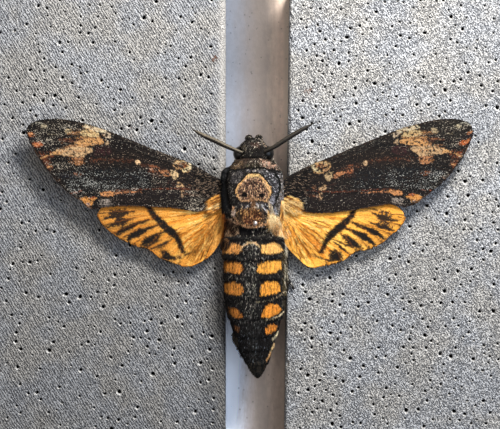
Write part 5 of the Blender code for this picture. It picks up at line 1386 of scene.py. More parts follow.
def tufts(name, root, lie, normal, length, width, colour, uv, lift=0.35, curl=0.0, tip_shade=1.15, root_shade=0.55, leaf=False):
    """Each tuft is a closed spike: three points at its root, three half way, one at its tip. A leaf has two half way."""
    n = len(root)
    lie = lie - normal * np.sum(lie * normal, 1)[:, None]
    lie = lie / np.maximum(1e-6, np.linalg.norm(lie, axis=1))[:, None]
    across = np.cross(lie, normal)
    length, width = length[:, None], width[:, None]
    lift = np.asarray(lift)[..., None] if np.ndim(lift) else lift
    bend = (rng.normal(0, 0.10, (n, 1)) + curl) * length
    middle = root + lie * length * 0.48 + normal * length * 0.48 * lift + across * bend * 0.3
    tip = root + lie * length + normal * length * lift * 0.62 + across * bend
    start = root - normal * width * 0.5 - lie * width * 0.4
    if leaf:
        middle = root + lie * length * 0.46 + normal * (length * 0.30 * lift - width * 0.10) + across * bend * 0.3
        tip = root + lie * length + normal * length * lift * 0.75 + across * bend
        corners = [start - across * width * 0.5, start + across * width * 0.5, start + normal * width * 0.55 - lie * width * 0.2, middle - across * width * 0.5, middle + across * width * 0.5, tip]
        pattern = np.array([[0, 4, 1], [0, 3, 4], [3, 5, 4], [0, 2, 3], [2, 5, 3], [1, 4, 2], [2, 4, 5], [0, 1, 2]])
        shade = np.array([root_shade, root_shade, 0.5 + 0.5 * root_shade, 1.0, 1.0, tip_shade])
        spread = np.array([[-1, -1], [1, -1], [0, -0.6], [-0.8, 0.1], [0.8, 0.1], [0, 1]])
    else:
        corners = [
            start - across * width * 0.5, start + across * width * 0.5, start + normal * width * 0.55 - lie * width * 0.2,
            middle - across * width * 0.46, middle + across * width * 0.46, middle + normal * width * 0.42,
            tip,
        ]
        pattern = np.array([[0, 4, 1], [0, 3, 4], [1, 5, 2], [1, 4, 5], [2, 3, 0], [2, 5, 3], [3, 6, 4], [4, 6, 5], [5, 6, 3], [2, 0, 1]])
        shade = np.array([root_shade] * 3 + [1.0] * 3 + [tip_shade])
        spread = np.array([[-1, -1], [1, -1], [0, -0.6], [-0.8, 0.1], [0.8, 0.1], [0, 0.3], [0, 1]])
    points = np.stack(corners, 1)
    faces = (np.arange(n)[:, None, None] * len(corners) + pattern[None]).reshape(-1, 3)
    colours = (colour[:, None, :] * shade[None, :, None]).reshape(-1, 3)
    colours = np.maximum(colours, 0) / np.maximum(1.0, colours.max(1, keepdims=True) / 0.93)
    flat = np.clip(uv[:, None, :] + spread[None] * 0.0015, 0.001, 0.999).reshape(-1, 2)
    return build(name, points.reshape(-1, 3), faces, flat[faces.ravel()], {"Marks": colours}, not leaf)


def body_coat(skin, co, normal, tris):
    a, b, c = co[tris[:, 0]], co[tris[:, 1]], co[tris[:, 2]]
    area = 0.5 * np.linalg.norm(np.cross(b - a, c - a), axis=1)
    centre = (a + b + c) / 3
    flat = np.cross(b - a, c - a)
    flat /= np.maximum(1e-9, np.linalg.norm(flat, axis=1))[:, None]
    _, _, _, side, _ = across_body(np.clip(centre[:, 1], -40.3, 18.9))
    above = smooth(-2.0, 1.0, centre[:, 2] - side)
    density = np.where(centre[:, 1] > 13.8, 88.0, np.where(centre[:, 1] > -5.8, 83.0, 73.0)) * (0.30 + 0.70 * above)
    density[flat[:, 2] < -0.98] *= 0.6
    for at in EYE_AT.values():
        density[np.linalg.norm((centre - np.array(at)) / np.array([1.5, 1.5, 1.95]), axis=1) < 1.0] = 0
    expected = area * density
    total = int(expected.sum())
    pick = rng.choice(len(tris), total, p=expected / expected.sum())
    r1, r2 = rng.random(total), rng.random(total)
    s = np.sqrt(r1)
    w = np.stack([1 - s, s * (1 - r2), s * r2], -1)
    root = np.einsum("nk,nkc->nc", w, co[tris[pick]])
    norm = np.einsum("nk,nkc->nc", w, normal[tris[pick]])
    norm /= np.linalg.norm(norm, axis=1)[:, None]
    x, y, z = root.T
    mid, half, top, side, low = across_body(np.clip(y, -40.3, 18.9))
    out = (x - mid) / np.maximum(half, 0.5)
    # lie of the coat: forward on the face, back and out over the shoulders, straight back down the abdomen
    lie = np.zeros_like(root)
    face = smooth(14.4, 15.6, y)
    lie[:, 1] = -1.0 * (1 - face) + 0.75 * face
    lie[:, 0] = out * (0.55 * face + 0.45 * smooth(-8, -4, y) * smooth(-4.2, -3, y) + 0.55 * smooth(11, 13, y) * (1 - face) + 0.16)
    lie[:, 2] = 0.35 * face - 0.10
    collar = smooth(11.2, 11.8, y) * smooth(13.8, 13.2, y)
    lie[:, 0] += out * 0.5 * collar
    around_mark = np.arctan2(x - 1.0, 6.0 - y)
    lie[:, :2] += 0.28 * np.stack([np.sin(around_mark), -np.abs(np.cos(around_mark))], -1) * ((y < 11) & (y > -3))[:, None]
    lie += rng.normal(0, 0.20, lie.shape)
    swirl = fbm(x * 0.55, y * 0.55, z * 0.55, 2, 91) - 0.5
    lie[:, 0] += swirl * 0.9 * smooth(-9, -4, y)
    length = np.where(y > 14.4, 0.44, np.where(y > 11.3, 0.52, np.where(y > -3.4, 0.50, np.where(y > -6.2, 0.66, 0.82))))
    length = length * np.where(z < side - 1.0, 1.15, 1.0) * np.where(y < -33, 0.95, 1.0)
    length = length * np.where((y > 16.5), 0.75, 1.0)
    crease = np.minimum(to_path(x, y, LAPPET["left"])[0], to_path(x, y, LAPPET["right"])[0])
    length = length * (1 - 0.45 * smooth(0.6, 0.2, crease))
    length = np.where(np.hypot(x - 0.40, y + 8.5) < 1.15, 0.5, length) * rng.uniform(0.72, 1.22, total)
    width = np.where(y > 14.4, 0.115, np.where(y > -5.8, 0.135, 0.115)) * rng.uniform(0.8, 1.25, total)
    lift = np.where(y > 14.4, 0.55, np.where(y > 11.3, 0.50, np.where(y > -3.4, 0.42, np.where(y > -6.2, 0.40, 0.24)))) * rng.uniform(0.6, 1.35, total)
    edges = np.array(RINGS)
    back = np.min(np.where(y[:, None] >= edges[None], y[:, None] - edges[None], 9), 1)
    fringe = smooth(0.7, 0.1, back)
    length = length * (1 + 0.25 * fringe)
    seen = root + norm * 0.2 + lie / np.maximum(0.2, np.linalg.norm(lie, axis=1))[:, None] * length[:, None] * 0.55
    colour = finished_shades(seen[:, 0], seen[:, 1], seen[:, 2], norm[:, 2], 5)
    vivid = ((colour[:, 0] > 0.35) & (y < -6))[:, None]
    colour = colour * np.where(vivid, rng.uniform(0.62, 1.50, (total, 1)), np.where(rng.random((total, 1)) < 0.26, rng.uniform(1.3, 2.9, (total, 1)), rng.uniform(0.22, 1.0, (total, 1)))) * (1 + rng.normal(0, 0.04, (total, 3)))
    uv = unwrap(x, y, z)
    groups = [("coat_head", y > 13.8), ("coat_collar", (y <= 13.8) & (y > 11.2)), ("coat_thorax_fore", (y <= 11.2) & (y > 4.4)), ("coat_thorax_hind", (y <= 4.4) & (y > -2.6)), ("coat_waist", (y <= -2.6) & (y > -8.0)), ("coat_abdomen_fore", (y <= -8.0) & (y > -14.6)), ("coat_abdomen_mid", (y <= -14.6) & (y > -22.0)), ("coat_abdomen_rear", (y <= -22.0) & (y > -29.6)), ("coat_abdomen_tip", y <= -29.6)]
    pieces = []
    for name, mask in groups:
        index = np.nonzero(mask)[0]
        for part in range(0, len(index), 24000):
            some = index[part : part + 24000]
            label = name if part == 0 else f"{name}_{part // 24000 + 1}"
            pieces.append(tufts(label, root[some], lie[some], norm[some], length[some], width[some], colour[some], uv[some], lift[some], root_shade=0.85 if "abdomen" in name else 0.55, leaf=True))
    return pieces


def on_skin(tree, x, y, down=True, reach=45.0):
    """Where a plumb line meets the skin from above, and which way the skin faces there."""
    hits, normals = [], []
    for a, b in zip(x, y):
        hit, normal, _, _ = tree.ray_cast(Vector((a * MM, b * MM, reach * MM)), Vector((0, 0, -1)))
        hits.append((np.array(hit) / MM) if hit else (a, b, 31.0))
        normals.append(np.array(normal) if hit else (0, 0, 1.0))
    return np.array(hits), np.array(normals)


def coat_finish(name, roughness=0.82, sheen=0.03):
    f = Finish(name, roughness=roughness, specular=0.14, sheen=sheen, sheen_roughness=0.45)
    marks, _ = f.shade("Marks")
    vary = f.noise(f.place(), 2.2, 2.0)
    tone = f.curve(vary, 0.3, 0.7, 0.78, 1.22)
    f.colour(f.mix(1.0, marks, f.node("ShaderNodeCombineColor", {"Red": tone, "Green": tone, "Blue": tone}).outputs[0], "MULTIPLY"))
    f.bump((f.noise(f.place(scale=(6, 1.5, 6)), 1.5, 1.0), 0.3, 0.05))
    return f.material


def skin_finish():
    f = Finish("skin_finish", roughness=0.82, specular=0.2)
    marks, _ = f.shade("Marks")
    fur = f.noise(f.place(scale=(5.5, 1.6, 5.5)), 1.0, 2.0)
    tone = f.curve(fur, 0.32, 0.68, 0.45, 1.05)
    f.colour(f.mix(1.0, marks, f.node("ShaderNodeCombineColor", {"Red": tone, "Green": tone, "Blue": tone}).outputs[0], "MULTIPLY"))
    f.bump((fur, 0.8, 0.14))
    return f.material


# ---------------------------------------------------------------------------------------------------------------------
# Eyes, feelers, legs


def eye(side):
    x, y, z = EYE_AT[side]
    out = -1 if side == "left" else 1
    bm = bmesh.new()
    bmesh.ops.create_icosphere(bm, subdivisions=5, radius=1.0)
    for p in bm.verts:
        q = p.co.copy()
        p.co = Vector(((x - out * 0.02 + q.x * 1.78) * MM, (y + 0.30 + q.y * 1.86) * MM, (z + 0.15 + q.z * 2.0) * MM))
    thing = link(bm, f"eye_{side}_faceted")
    thing.data.shade_smooth()
    f = Finish(f"eye_{side}_finish", roughness=0.36, specular=0.45, coat=0.12, coat_roughness=0.3)
    cells = f.cells(f.place(), 7.5)
    edge = f.curve(cells, 0.30, 0.55)
    drift = f.noise(f.place(), 0.9, 2.0)
    f.colour(f.mix(edge, f.mix(drift, tuple(lin(44, 34, 24)), tuple(lin(26, 30, 28))), tuple(lin(12, 11, 10))))
    f.bump((cells, -0.5, 0.05))
    thing.data.materials.append(f.material)
    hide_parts(f"eye_{side}")
    return thing


FEELER = {
    "left": [(-0.75, 14.7, 33.4), (-1.9, 15.15, 34.3), (-3.7, 15.85, 34.9), (-6.15, 16.9, 35.25), (-8.6, 18.1, 35.3), (-11.05, 19.2, 35.2), (-12.9, 20.15, 35.1), (-13.7, 20.65, 35.05), (-14.35, 21.2, 35.2), (-14.75, 21.75, 35.5)],
    "right": [(2.6, 14.8, 33.4), (3.3, 15.2, 34.3), (4.3, 15.72, 34.8), (6.2, 16.74, 35.15), (8.6, 18.3, 35.3), (11.05, 19.8, 35.3), (13.0, 20.95, 35.2), (14.2, 21.6, 35.15), (15.3, 22.2, 35.25), (16.25, 22.75, 35.5)],
}


def feeler(side):
    """A club-shaped feeler of about sixty rings, pale on the side facing the lamp as painted highlight, with rows of
    fine bristles behind, and a hooked tip.
    """
    rings = 260
    sizes = np.interp(np.linspace(0, 1, rings), [0, 0.07, 0.13, 0.3, 0.5, 0.7, 0.82, 0.88, 0.93, 1.0], [0.34, 0.46, 0.44, 0.56, 0.62, 0.60, 0.46, 0.27, 0.15, 0.05])
    pitch = (np.linspace(0, 62, rings) % 1.0)
    sizes = sizes * (1.0 - 0.10 * smooth(0.72, 1.0, pitch) - 0.03 * pitch) * (1 - 0.12 * (np.abs(np.linspace(0, 62, rings) - 4.5) < 0.5))
    points, faces, line, ahead, sides, ups, radius = sweep(FEELER[side], lambda t: np.interp(t, np.linspace(0, 1, rings), sizes), 20, rings)
    a = np.linspace(0, 2 * math.pi, 20, endpoint=False)
    facing = np.concatenate([np.cos(a)[:, None] * s + np.sin(a)[:, None] * u for s, u in zip(sides, ups)] + [[(0, 0, 1.0)], [(0, 0, 1.0)]])
    # painted highlight: the side facing the lamp is pale, much less so on the right feeler
    lit = facing @ np.array([0.0, 1.0, 0.0])
    along = np.concatenate([np.repeat(np.linspace(0, 1, rings), 20), [0, 1]])
    grain = noise(points[:, 0] * 5, points[:, 1] * 5, points[:, 2] * 5, 14)
    near = lit + 0.2 * (grain - 0.5)
    pale = smooth(-0.02, 0.22, near) * smooth(0.92, 0.74, near) * (facing[:, 2] > -0.2) * (1 - 0.75 * smooth(0.82, 0.9, along)) * 0.55
    if side == "right":
        pale = pale * 0.16
    colour = lin(20, 16, 13) * (1 - pale[:, None]) + lin(150, 138, 116) * pale[:, None] * (0.75 + 0.5 * grain[:, None])
    ring_dark = np.concatenate([np.repeat(smooth(0.70, 0.9, pitch), 20), [0, 0]])
    colour = colour * (1 - 0.45 * ring_dark[:, None])
    colour = colour * (0.35 + 0.65 * smooth(0.0, 0.06, along))[:, None]
    uv = np.stack([0.02 + 0.96 * along, np.concatenate([np.tile(np.abs(np.linspace(-1, 1, 20, endpoint=False)), rings), [0.5, 0.5]]) * 0.9 + 0.05], -1)
    thing = build(f"feeler_{side}", points, faces, np.concatenate([uv[f.ravel()] for f in faces]), {"Marks": colour})
    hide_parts(f"antenna_{side}")
    # bristles
    n = 2200
    row = rng.integers(26, rings - 34, n)
    turn = rng.uniform(0, 2 * math.pi, n)
    out = np.cos(turn)[:, None] * sides[row] + np.sin(turn)[:, None] * ups[row]
    behind = out @ np.array([0.0, -0.85, -0.5])
    keep = rng.random(n) < np.where(behind > 0.1, 1.0, 0.25)
    row, out, behind = row[keep], out[keep], behind[keep]
    root = line[row] + out * radius[row][:, None] * 0.96
    lie = ahead[row] * 0.7 + out * np.where(behind > 0.1, 0.8, 0.15)[:, None]
    k = len(row)
    # painted highlight: bristles that face the lamp are paler, less so on the right feeler
    shade = np.where(behind[:, None] > 0.1, lin(34, 27, 22), lin(104, 92, 74) * (1.0 if side == "left" else 0.35)) * rng.uniform(0.6, 1.3, (k, 1))
    patch = np.stack([0.02 + 0.96 * row / rings, np.clip(0.05 + 0.9 * np.abs(turn[keep] / math.pi - 1), 0.02, 0.98)], -1)
    hair = tufts(f"feeler_bristles_{side}", root, lie, out, rng.uniform(0.14, 0.26, k), rng.uniform(0.045, 0.07, k), shade, patch, 0.3, leaf=True)
    return thing, hair


LEGS = {
    "leg_fore_left": [(-0.6, 9.6, 24.4), (-2.6, 12.0, 21.4), (-3.6, 13.8, 20.2), (-3.3, 11.0, 18.6), (-2.7, 7.6, 17.6), (-2.1, 4.6, 17.0)],
    "leg_fore_right": [(2.4, 9.6, 24.4), (4.6, 12.0, 21.4), (5.6, 13.8, 20.2), (5.3, 11.0, 18.6), (4.7, 7.6, 17.6), (4.0, 4.6, 17.0)],
    "leg_mid_left": [(-1.4, 4.9, 23.8), (-3.6, 5.4, 20.4), (-5.0, 4.0, 19.6), (-4.6, 0.0, 18.6), (-4.0, -4.6, 18.0), (-3.4, -9.4, 17.6)],
    "leg_mid_right": [(3.0, 4.9, 23.8), (5.6, 5.4, 20.4), (7.2, 4.0, 19.6), (6.8, 0.0, 18.6), (6.2, -4.6, 18.0), (5.6, -9.4, 17.6)],
    "leg_hind_left": [(-1.0, -0.6, 23.8), (-3.4, -2.4, 21.2), (-4.8, -4.8, 20.8), (-4.7, -10.5, 21.0), (-4.2, -16.0, 20.6), (-3.2, -22.0, 20.2)],
    "leg_hind_right": [(3.0, -0.6, 23.8), (6.0, -2.6, 21.6), (7.6, -5.0, 22.2), (8.1, -10.0, 25.6), (9.25, -15.4, 28.85), (10.9, -18.5, 28.8)],
}


def leg_radius(t):
    """Thick hip and thigh, a knee, a slimmer shin, then five short joints of the foot."""
    r = np.interp(t, [0, 0.10, 0.22, 0.33, 0.365, 0.40, 0.52, 0.64, 0.67, 0.72, 1.0], [0.50, 0.60, 0.56, 0.40, 0.30, 0.36, 0.42, 0.36, 0.24, 0.25, 0.15])
    foot = np.clip((t - 0.67) / 0.33, 0, 1) * 5
    return np.where(t > 0.67, r * (0.86 + 0.28 * np.abs(foot % 1.0)), r)


def leg(name):
    rings = 150
    stout = name == "leg_hind_right"
    points, faces, line, ahead, sides, ups, radius = sweep(LEGS[name], (lambda t: leg_radius(t) * (1 + 0.95 * smooth(0.60, 0.70, t))) if stout else leg_radius, 14, rings)
    t = np.concatenate([np.repeat(np.linspace(0, 1, rings), 14), [0, 1]])
    grain = noise(points[:, 0] * 4, points[:, 1] * 4, points[:, 2] * 4, 18)
    ring = np.clip((t - 0.67) / 0.33, 0, 1) * 5 % 1.0
    colour = lin(20, 16, 14) * (0.7 + 0.6 * grain[:, None])
    pale = ((ring > 0.82) & (t > 0.67)) * (0.0 if stout else 1.0)
    colour = colour * (1 - 0.6 * pale[:, None]) + lin(150, 136, 112) * 0.6 * pale[:, None]
    around = np.concatenate([np.tile(np.abs(np.linspace(-1, 1, 14, endpoint=False)), rings), [0.5, 0.5]])
    uv = np.stack([0.02 + 0.96 * t, 0.05 + 0.9 * around], -1)
    body = [(points, faces, colour, uv)]
    offset = 0

    def spike(root, tip, bend, thick, shade):
        mid = (np.array(root) + np.array(tip)) / 2 + np.array(bend)
        p, f, *_ = sweep([root, mid, tip], [thick, thick * 0.8, thick * 0.12], 8, 12)
        body.append((p, f, np.tile(shade, (len(p), 1)), np.tile([0.5, 0.5], (len(p), 1)) + rng.uniform(-0.004, 0.004, (len(p), 2))))

    end, way, side, up = line[-1], ahead[-1], sides[-1], ups[-1]
    for s in (-1, 1):  # claws
        spike(end - way * 0.1, end + way * 0.42 + side * 0.26 * s - up * 0.10, side * 0.10 * s + up * 0.06, 0.075, lin(30, 18, 12))
    if "fore" not in name:  # spurs of the shin
        places = (0.66,) if "mid" in name else (0.54, 0.66)
        for place in places:
            i = int(place * rings)
            for s in (-1, 1):
                spike(line[i] + sides[i] * 0.25 * s, line[i] + sides[i] * 0.62 * s + ahead[i] * 1.05, sides[i] * 0.12 * s, 0.10, lin(104, 84, 60))
    all_points, all_colours, uvs, all_faces = [], [], [], []
    for p, f, c, w in body:
        all_points.append(p)
        all_colours.append(c)
        for part in f:
            all_faces.append(part + offset)
            uvs.append(w[part.ravel()])
        offset += len(p)
    thing = build(f"{name}_cuticle", np.concatenate(all_points), all_faces, np.concatenate(uvs), {"Marks": np.concatenate(all_colours)})
    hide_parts(name)
    n = 1100
    where = rng.beta(1.1, 1.0, n) * 0.97
    i = np.clip((where * (rings - 1)).astype(int), 0, rings - 1)
    turn = rng.uniform(0, 2 * math.pi, n)
    out = np.cos(turn)[:, None] * sides[i] + np.sin(turn)[:, None] * ups[i]
    root = line[i] + out * radius[i][:, None] * 0.95
    foot = where > 0.67
    length = np.where(foot, rng.uniform(0.16, 0.30, n), rng.uniform(0.35, 0.75, n)) * np.where(where < 0.33, 1.3, 1.0)
    ring = np.clip((where - 0.67) / 0.33, 0, 1) * 5 % 1.0
    light = rng.random(n) < np.where(foot, np.where(ring > 0.80, 0.5 if stout else 0.8, 0.04), 0.22)
    if stout:  # painted highlight: the foot's scales are pale along its side facing the lamp, and white at its end
        light = light & ~foot | (foot & (where > 0.70) & (out[:, 0] > 0.80) & (rng.random(n) < 0.45)) | (where > 0.925)
    light = light[:, None]
    shade = np.where(light, lin(196, 188, 172), lin(14, 12, 10) if stout else lin(20, 16, 13)) * rng.uniform(0.6, 1.3, (n, 1))
    # painted highlight: white at the end of the foot
    if stout:
        shade = np.where((where > 0.925)[:, None], lin(236, 230, 220), shade)
    patch = np.stack([0.02 + 0.96 * where, 0.05 + 0.9 * np.abs(turn / math.pi - 1)], -1)
    hair = tufts(f"{name}_scales", root, ahead[i] + out * 0.25, out, length, np.where(foot, 0.08, 0.12) * rng.uniform(0.8, 1.2, n), shade, patch, np.where(foot, 0.2, 0.35), leaf=True)
    return thing, hair


def cuticle_finish(name, roughness, specular=0.25):
    f = Finish(name, roughness=roughness, specular=specular)
    marks, _ = f.shade("Marks")
    fine = f.noise(f.place(), 4.5, 2.0)
    tone = f.curve(fine, 0.3, 0.7, 0.7, 1.25)
    f.colour(f.mix(1.0, marks, f.node("ShaderNodeCombineColor", {"Red": tone, "Green": tone, "Blue": tone}).outputs[0], "MULTIPLY"))
    f.bump((fine, 0.4, 0.05))
    return f.material


# ---------------------------------------------------------------------------------------------------------------------
# Long hair at the wing bases and the waist, and the fringes of the wings


def wing_top(kind, side, u, v):
    x, y = to_mm(u, v)
    layer = LAYER if kind == "fore" else -LAYER
    return np.stack([x, y, wing_level(side, x, y) + layer + 0.12 + wing_relief(kind, side, u, v)], -1)


def wing_patch(kind, side, u, v):
    front = (FORE_FRONT if kind == "fore" else HIND_FRONT)[side]
    rear = (FORE_REAR if kind == "fore" else HIND_REAR)[side]
    s = (u - front[0][0]) / (front[-1][0] - front[0][0])
    t = (v - pchip(front, u)) / np.maximum(0.3, pchip(rear, u) - pchip(front, u))
    return np.stack([0.02 + 0.96 * s, 0.02 + 0.46 * np.clip(t, 0, 1)], -1)


def scatter(points, count):
    """Seeded places inside an outline of the plan."""
    pts = np.array(points)
    low, high = pts.min(0), pts.max(0)
    found = np.zeros((0, 2))
    while len(found) < count:
        some = rng.uniform(low, high, (count * 3, 2))
        found = np.concatenate([found, some[to_shape(some[:, 0], some[:, 1], points) < 0]])
    return found[:count, 0], found[:count, 1]


def hindwing_hair(side, count):
    """Silky hair over the inner half of the hindwing, running out from its base."""
    base = HIND_BASE[side]
    sign = -1 if side == "left" else 1
    outline = [(base[0], 200), (base[0] + sign * 60, 203), (base[0] + sign * 66, 214), (base[0] + sign * 58, 232), (base[0] + sign * 48, 252), (base[0] + sign * 28, 262), (base[0] + sign * 14, 250), (base[0] + sign * 2, 224)]
    u, v = scatter(outline, int(count * 1.25))
    reach = np.hypot(u - base[0], v - base[1])
    rear = pchip(HIND_REAR[side], u)
    keep = (v < rear - 1.2) & (rng.random(len(u)) < 1.15 - reach / 80)
    u, v, reach, rear = u[keep], v[keep], reach[keep], rear[keep]
    way = np.stack([u - base[0], -(v - base[1])], -1) / np.maximum(1.0, reach)[:, None]
    swirl = fbm(u * 0.10, v * 0.10, 0, 2, 44 if side == "left" else 45) - 0.5
    lie = np.stack([way[:, 0] - way[:, 1] * swirl * 0.7, way[:, 1] + way[:, 0] * swirl * 0.7, np.zeros(len(u))], -1)
    length = rng.uniform(1.0, 2.3, len(u)) * smooth(75, 30, reach) + 0.5
    room = (rear - v) * UNIT
    length = np.minimum(length, np.maximum(0.5, room * 1.1))
    root = wing_top("hind", side, u, v)
    normal = np.tile([0.0, 0.0, 1.0], (len(u), 1))
    ahead_u, ahead_v = u + lie[:, 0] * length * 2, v - lie[:, 1] * length * 2
    colour, _ = hindwing_shades(side, ahead_u, ahead_v)
    bright = streaks(u, v, base, 0.03, 5.0, 62)
    # painted shade and light: the left wing's hair is made darker and the right's lighter
    painted_light_gain = 0.88 if side == "left" else 1.04
    vary = np.where(bright > 0.58, 1.4, 1.1) * painted_light_gain * rng.uniform(0.85, 1.15, len(u))
    colour = colour * vary[:, None]
    deep = ((bright < (0.32 if side == "left" else 0.26)) & (colour[:, 0] > 0.15))[:, None]
    colour = np.where(deep, lin(164, 96, 32) * rng.uniform(0.6, 1.1, (len(u), 1)), colour)
    light = (bright > 0.66)[:, None]
    colour = np.where(light & (colour[:, :1] > 0.3), (lin(232, 178, 94) if side == "left" else lin(255, 220, 134)) * rng.uniform(0.75, 1.0, (len(u), 1)), colour)
    return tufts(f"hindwing_{side}_hair", root - normal * 0.03, lie, normal, length, rng.uniform(0.06, 0.11, len(u)), colour, wing_patch("hind", side, u, v), 0.01, 0.0, 1.05, 1.0)


def forewing_hair(side, count):
    """Dark scales standing at the forewing's base, and the yellow tuft on its inner corner."""
    sign = -1 if side == "left" else 1
    if side == "left":
        dark = [(196, 170), (210, 176), (222, 182), (224, 196), (212, 203), (198, 206)]
        gold = [(210, 200), (214, 196.6), (219.6, 193.6), (222.4, 199), (221.6, 208), (215, 211.6), (210, 210)]
    else:
        dark = [(308, 169), (296, 175), (282, 183), (280, 196), (292, 203), (306, 206)]
        gold = [(298, 201), (294, 198), (287.4, 195), (282, 199), (282.4, 208), (290, 212), (297, 211.6)]
    u, v = scatter(dark, count)
    root = wing_top("fore", side, u, v)
    normal = np.tile([0.0, 0.0, 1.0], (len(u), 1))
    lie = np.stack([np.full(len(u), sign * 1.0), -0.28 + rng.normal(0, 0.22, len(u)), np.zeros(len(u))], -1)
    colour, dust = forewing_shades(side, u, v)
    light = (rng.random(len(u)) < (0.22 if side == "left" else 0.09))[:, None]
    colour = np.where(light, dust[:, :3] * 0.8, colour * rng.uniform(0.3, 1.1, (len(u), 1)))
    first = tufts(f"forewing_{side}_base_scales", root - normal * 0.03, lie, normal, rng.uniform(0.5, 1.0, len(u)), rng.uniform(0.10, 0.16, len(u)), colour, wing_patch("fore", side, u, v), 0.22)
    n = int(count * 0.62)
    u, v = scatter(gold, n)
    root = wing_top("fore", side, u, v)
    root[:, 2] += 0.10
    normal = np.tile([0.0, 0.0, 1.0], (n, 1))
    lie = np.stack([np.full(n, sign * 0.86), -0.46 + rng.normal(0, 0.14, n), np.zeros(n)], -1)
    stripe = noise((v + (u - 212) * 0.45 * -sign) * 0.95, u * 0.05, 0, 71)
    inward = smooth(205, 219, u) if side == "left" else smooth(302, 287, u)
    colour = (lin(206, 132, 52) if side == "left" else lin(232, 156, 66)) * (1 - inward[:, None]) + (lin(246, 182, 92) if side == "left" else lin(255, 208, 116)) * inward[:, None]
    colour = np.where((stripe > 0.60)[:, None], lin(255, 226, 166), colour)
    colour = np.where((stripe < 0.36)[:, None], lin(136, 80, 34), colour) * rng.uniform(0.75, 1.1, (n, 1))
    second = tufts(f"forewing_{side}_gold_tuft", root, lie, normal, rng.uniform(1.0, 2.3, n), rng.uniform(0.07, 0.12, n), colour * (1.0 if side == "left" else np.array([0.70, 0.64, 0.54])), wing_patch("fore", side, u, v), 0.10, 0, 1.05, 0.8, leaf=side == "right")
    return first, second


def fringe(kind, side):
    """The short even fringe along the outer edge of a wing."""
    front = (FORE_FRONT if kind == "fore" else HIND_FRONT)[side]
    rear = np.array((FORE_REAR if kind == "fore" else HIND_REAR)[side], float)
    sign = -1 if side == "left" else 1
    us = np.interp(np.linspace(0, 1, 900), np.linspace(0, 1, len(rear)), rear[:, 0])
    vs = pchip([tuple(p) for p in rear], us)
    run = np.concatenate([[0], np.cumsum(np.hypot(np.diff(us), np.diff(vs)))])
    n = int(run[-1] * (7.5 if kind == "fore" else 8.5))
    at = np.sort(rng.uniform(0.02, 0.999, n)) * run[-1]
    u, v = np.interp(at, run, us), np.interp(at, run, vs)
    du, dv = np.interp(at, run, np.gradient(us, run)), np.interp(at, run, np.gradient(vs, run))
    size = np.hypot(du, dv)
    outward = np.stack([-dv / size * sign * -1, -(du / size) * sign], -1)  # away from the wing, y up
    flip = np.where((outward[:, 1] > 0.3) & (kind == "hind"), -1, 1)
    outward = outward * flip[:, None]
    keep = np.abs(u - 252) > (46 if kind == "fore" else 26)
    u, v, outward = u[keep], v[keep], outward[keep]
    n = len(u)
    inset = rng.uniform(0.2, 1.5, n)
    ui, vi = u - outward[:, 0] * inset, v + outward[:, 1] * inset
    root = wing_top(kind, side, ui, vi)
    root[:, 2] -= 0.12
    normal = np.tile([0.0, 0.0, 1.0], (n, 1))
    lie = np.concatenate([outward + rng.normal(0, 0.12, (n, 2)), np.zeros((n, 1))], 1)
    inside = (u - outward[:, 0] * 2.2, v + outward[:, 1] * 2.2)
    colour, _ = (forewing_shades if kind == "fore" else hindwing_shades)(side, *inside)
    if kind == "fore":
        check = noise(at[keep] * 0.16, 0, 0, 81)
        colour = colour * 0.5 + lin(40, 28, 24) * 0.5
        colour = np.where((check > 0.66)[:, None], colour * 1.8 + lin(90, 66, 48) * 0.5, colour)
    else:
        near = np.min(np.hypot(u[:, None] - np.array(HIND_ENDS[side])[None, :, 0], v[:, None] - np.array(HIND_ENDS[side])[None, :, 1]), 1)
        colour = colour * (1 - 0.7 * smooth(2.2, 0.8, near))[:, None]
    colour = colour * rng.uniform(0.75, 1.25, (n, 1))
    long = 0.42 if kind == "fore" else 0.46
    return tufts(f"{kind}wing_{side}_fringe", root, lie, normal, rng.uniform(0.8, 1.2, n) * long, rng.uniform(0.09, 0.14, n), colour, wing_patch(kind, side, ui, vi), 0.05, 0, 1.1, 0.85)


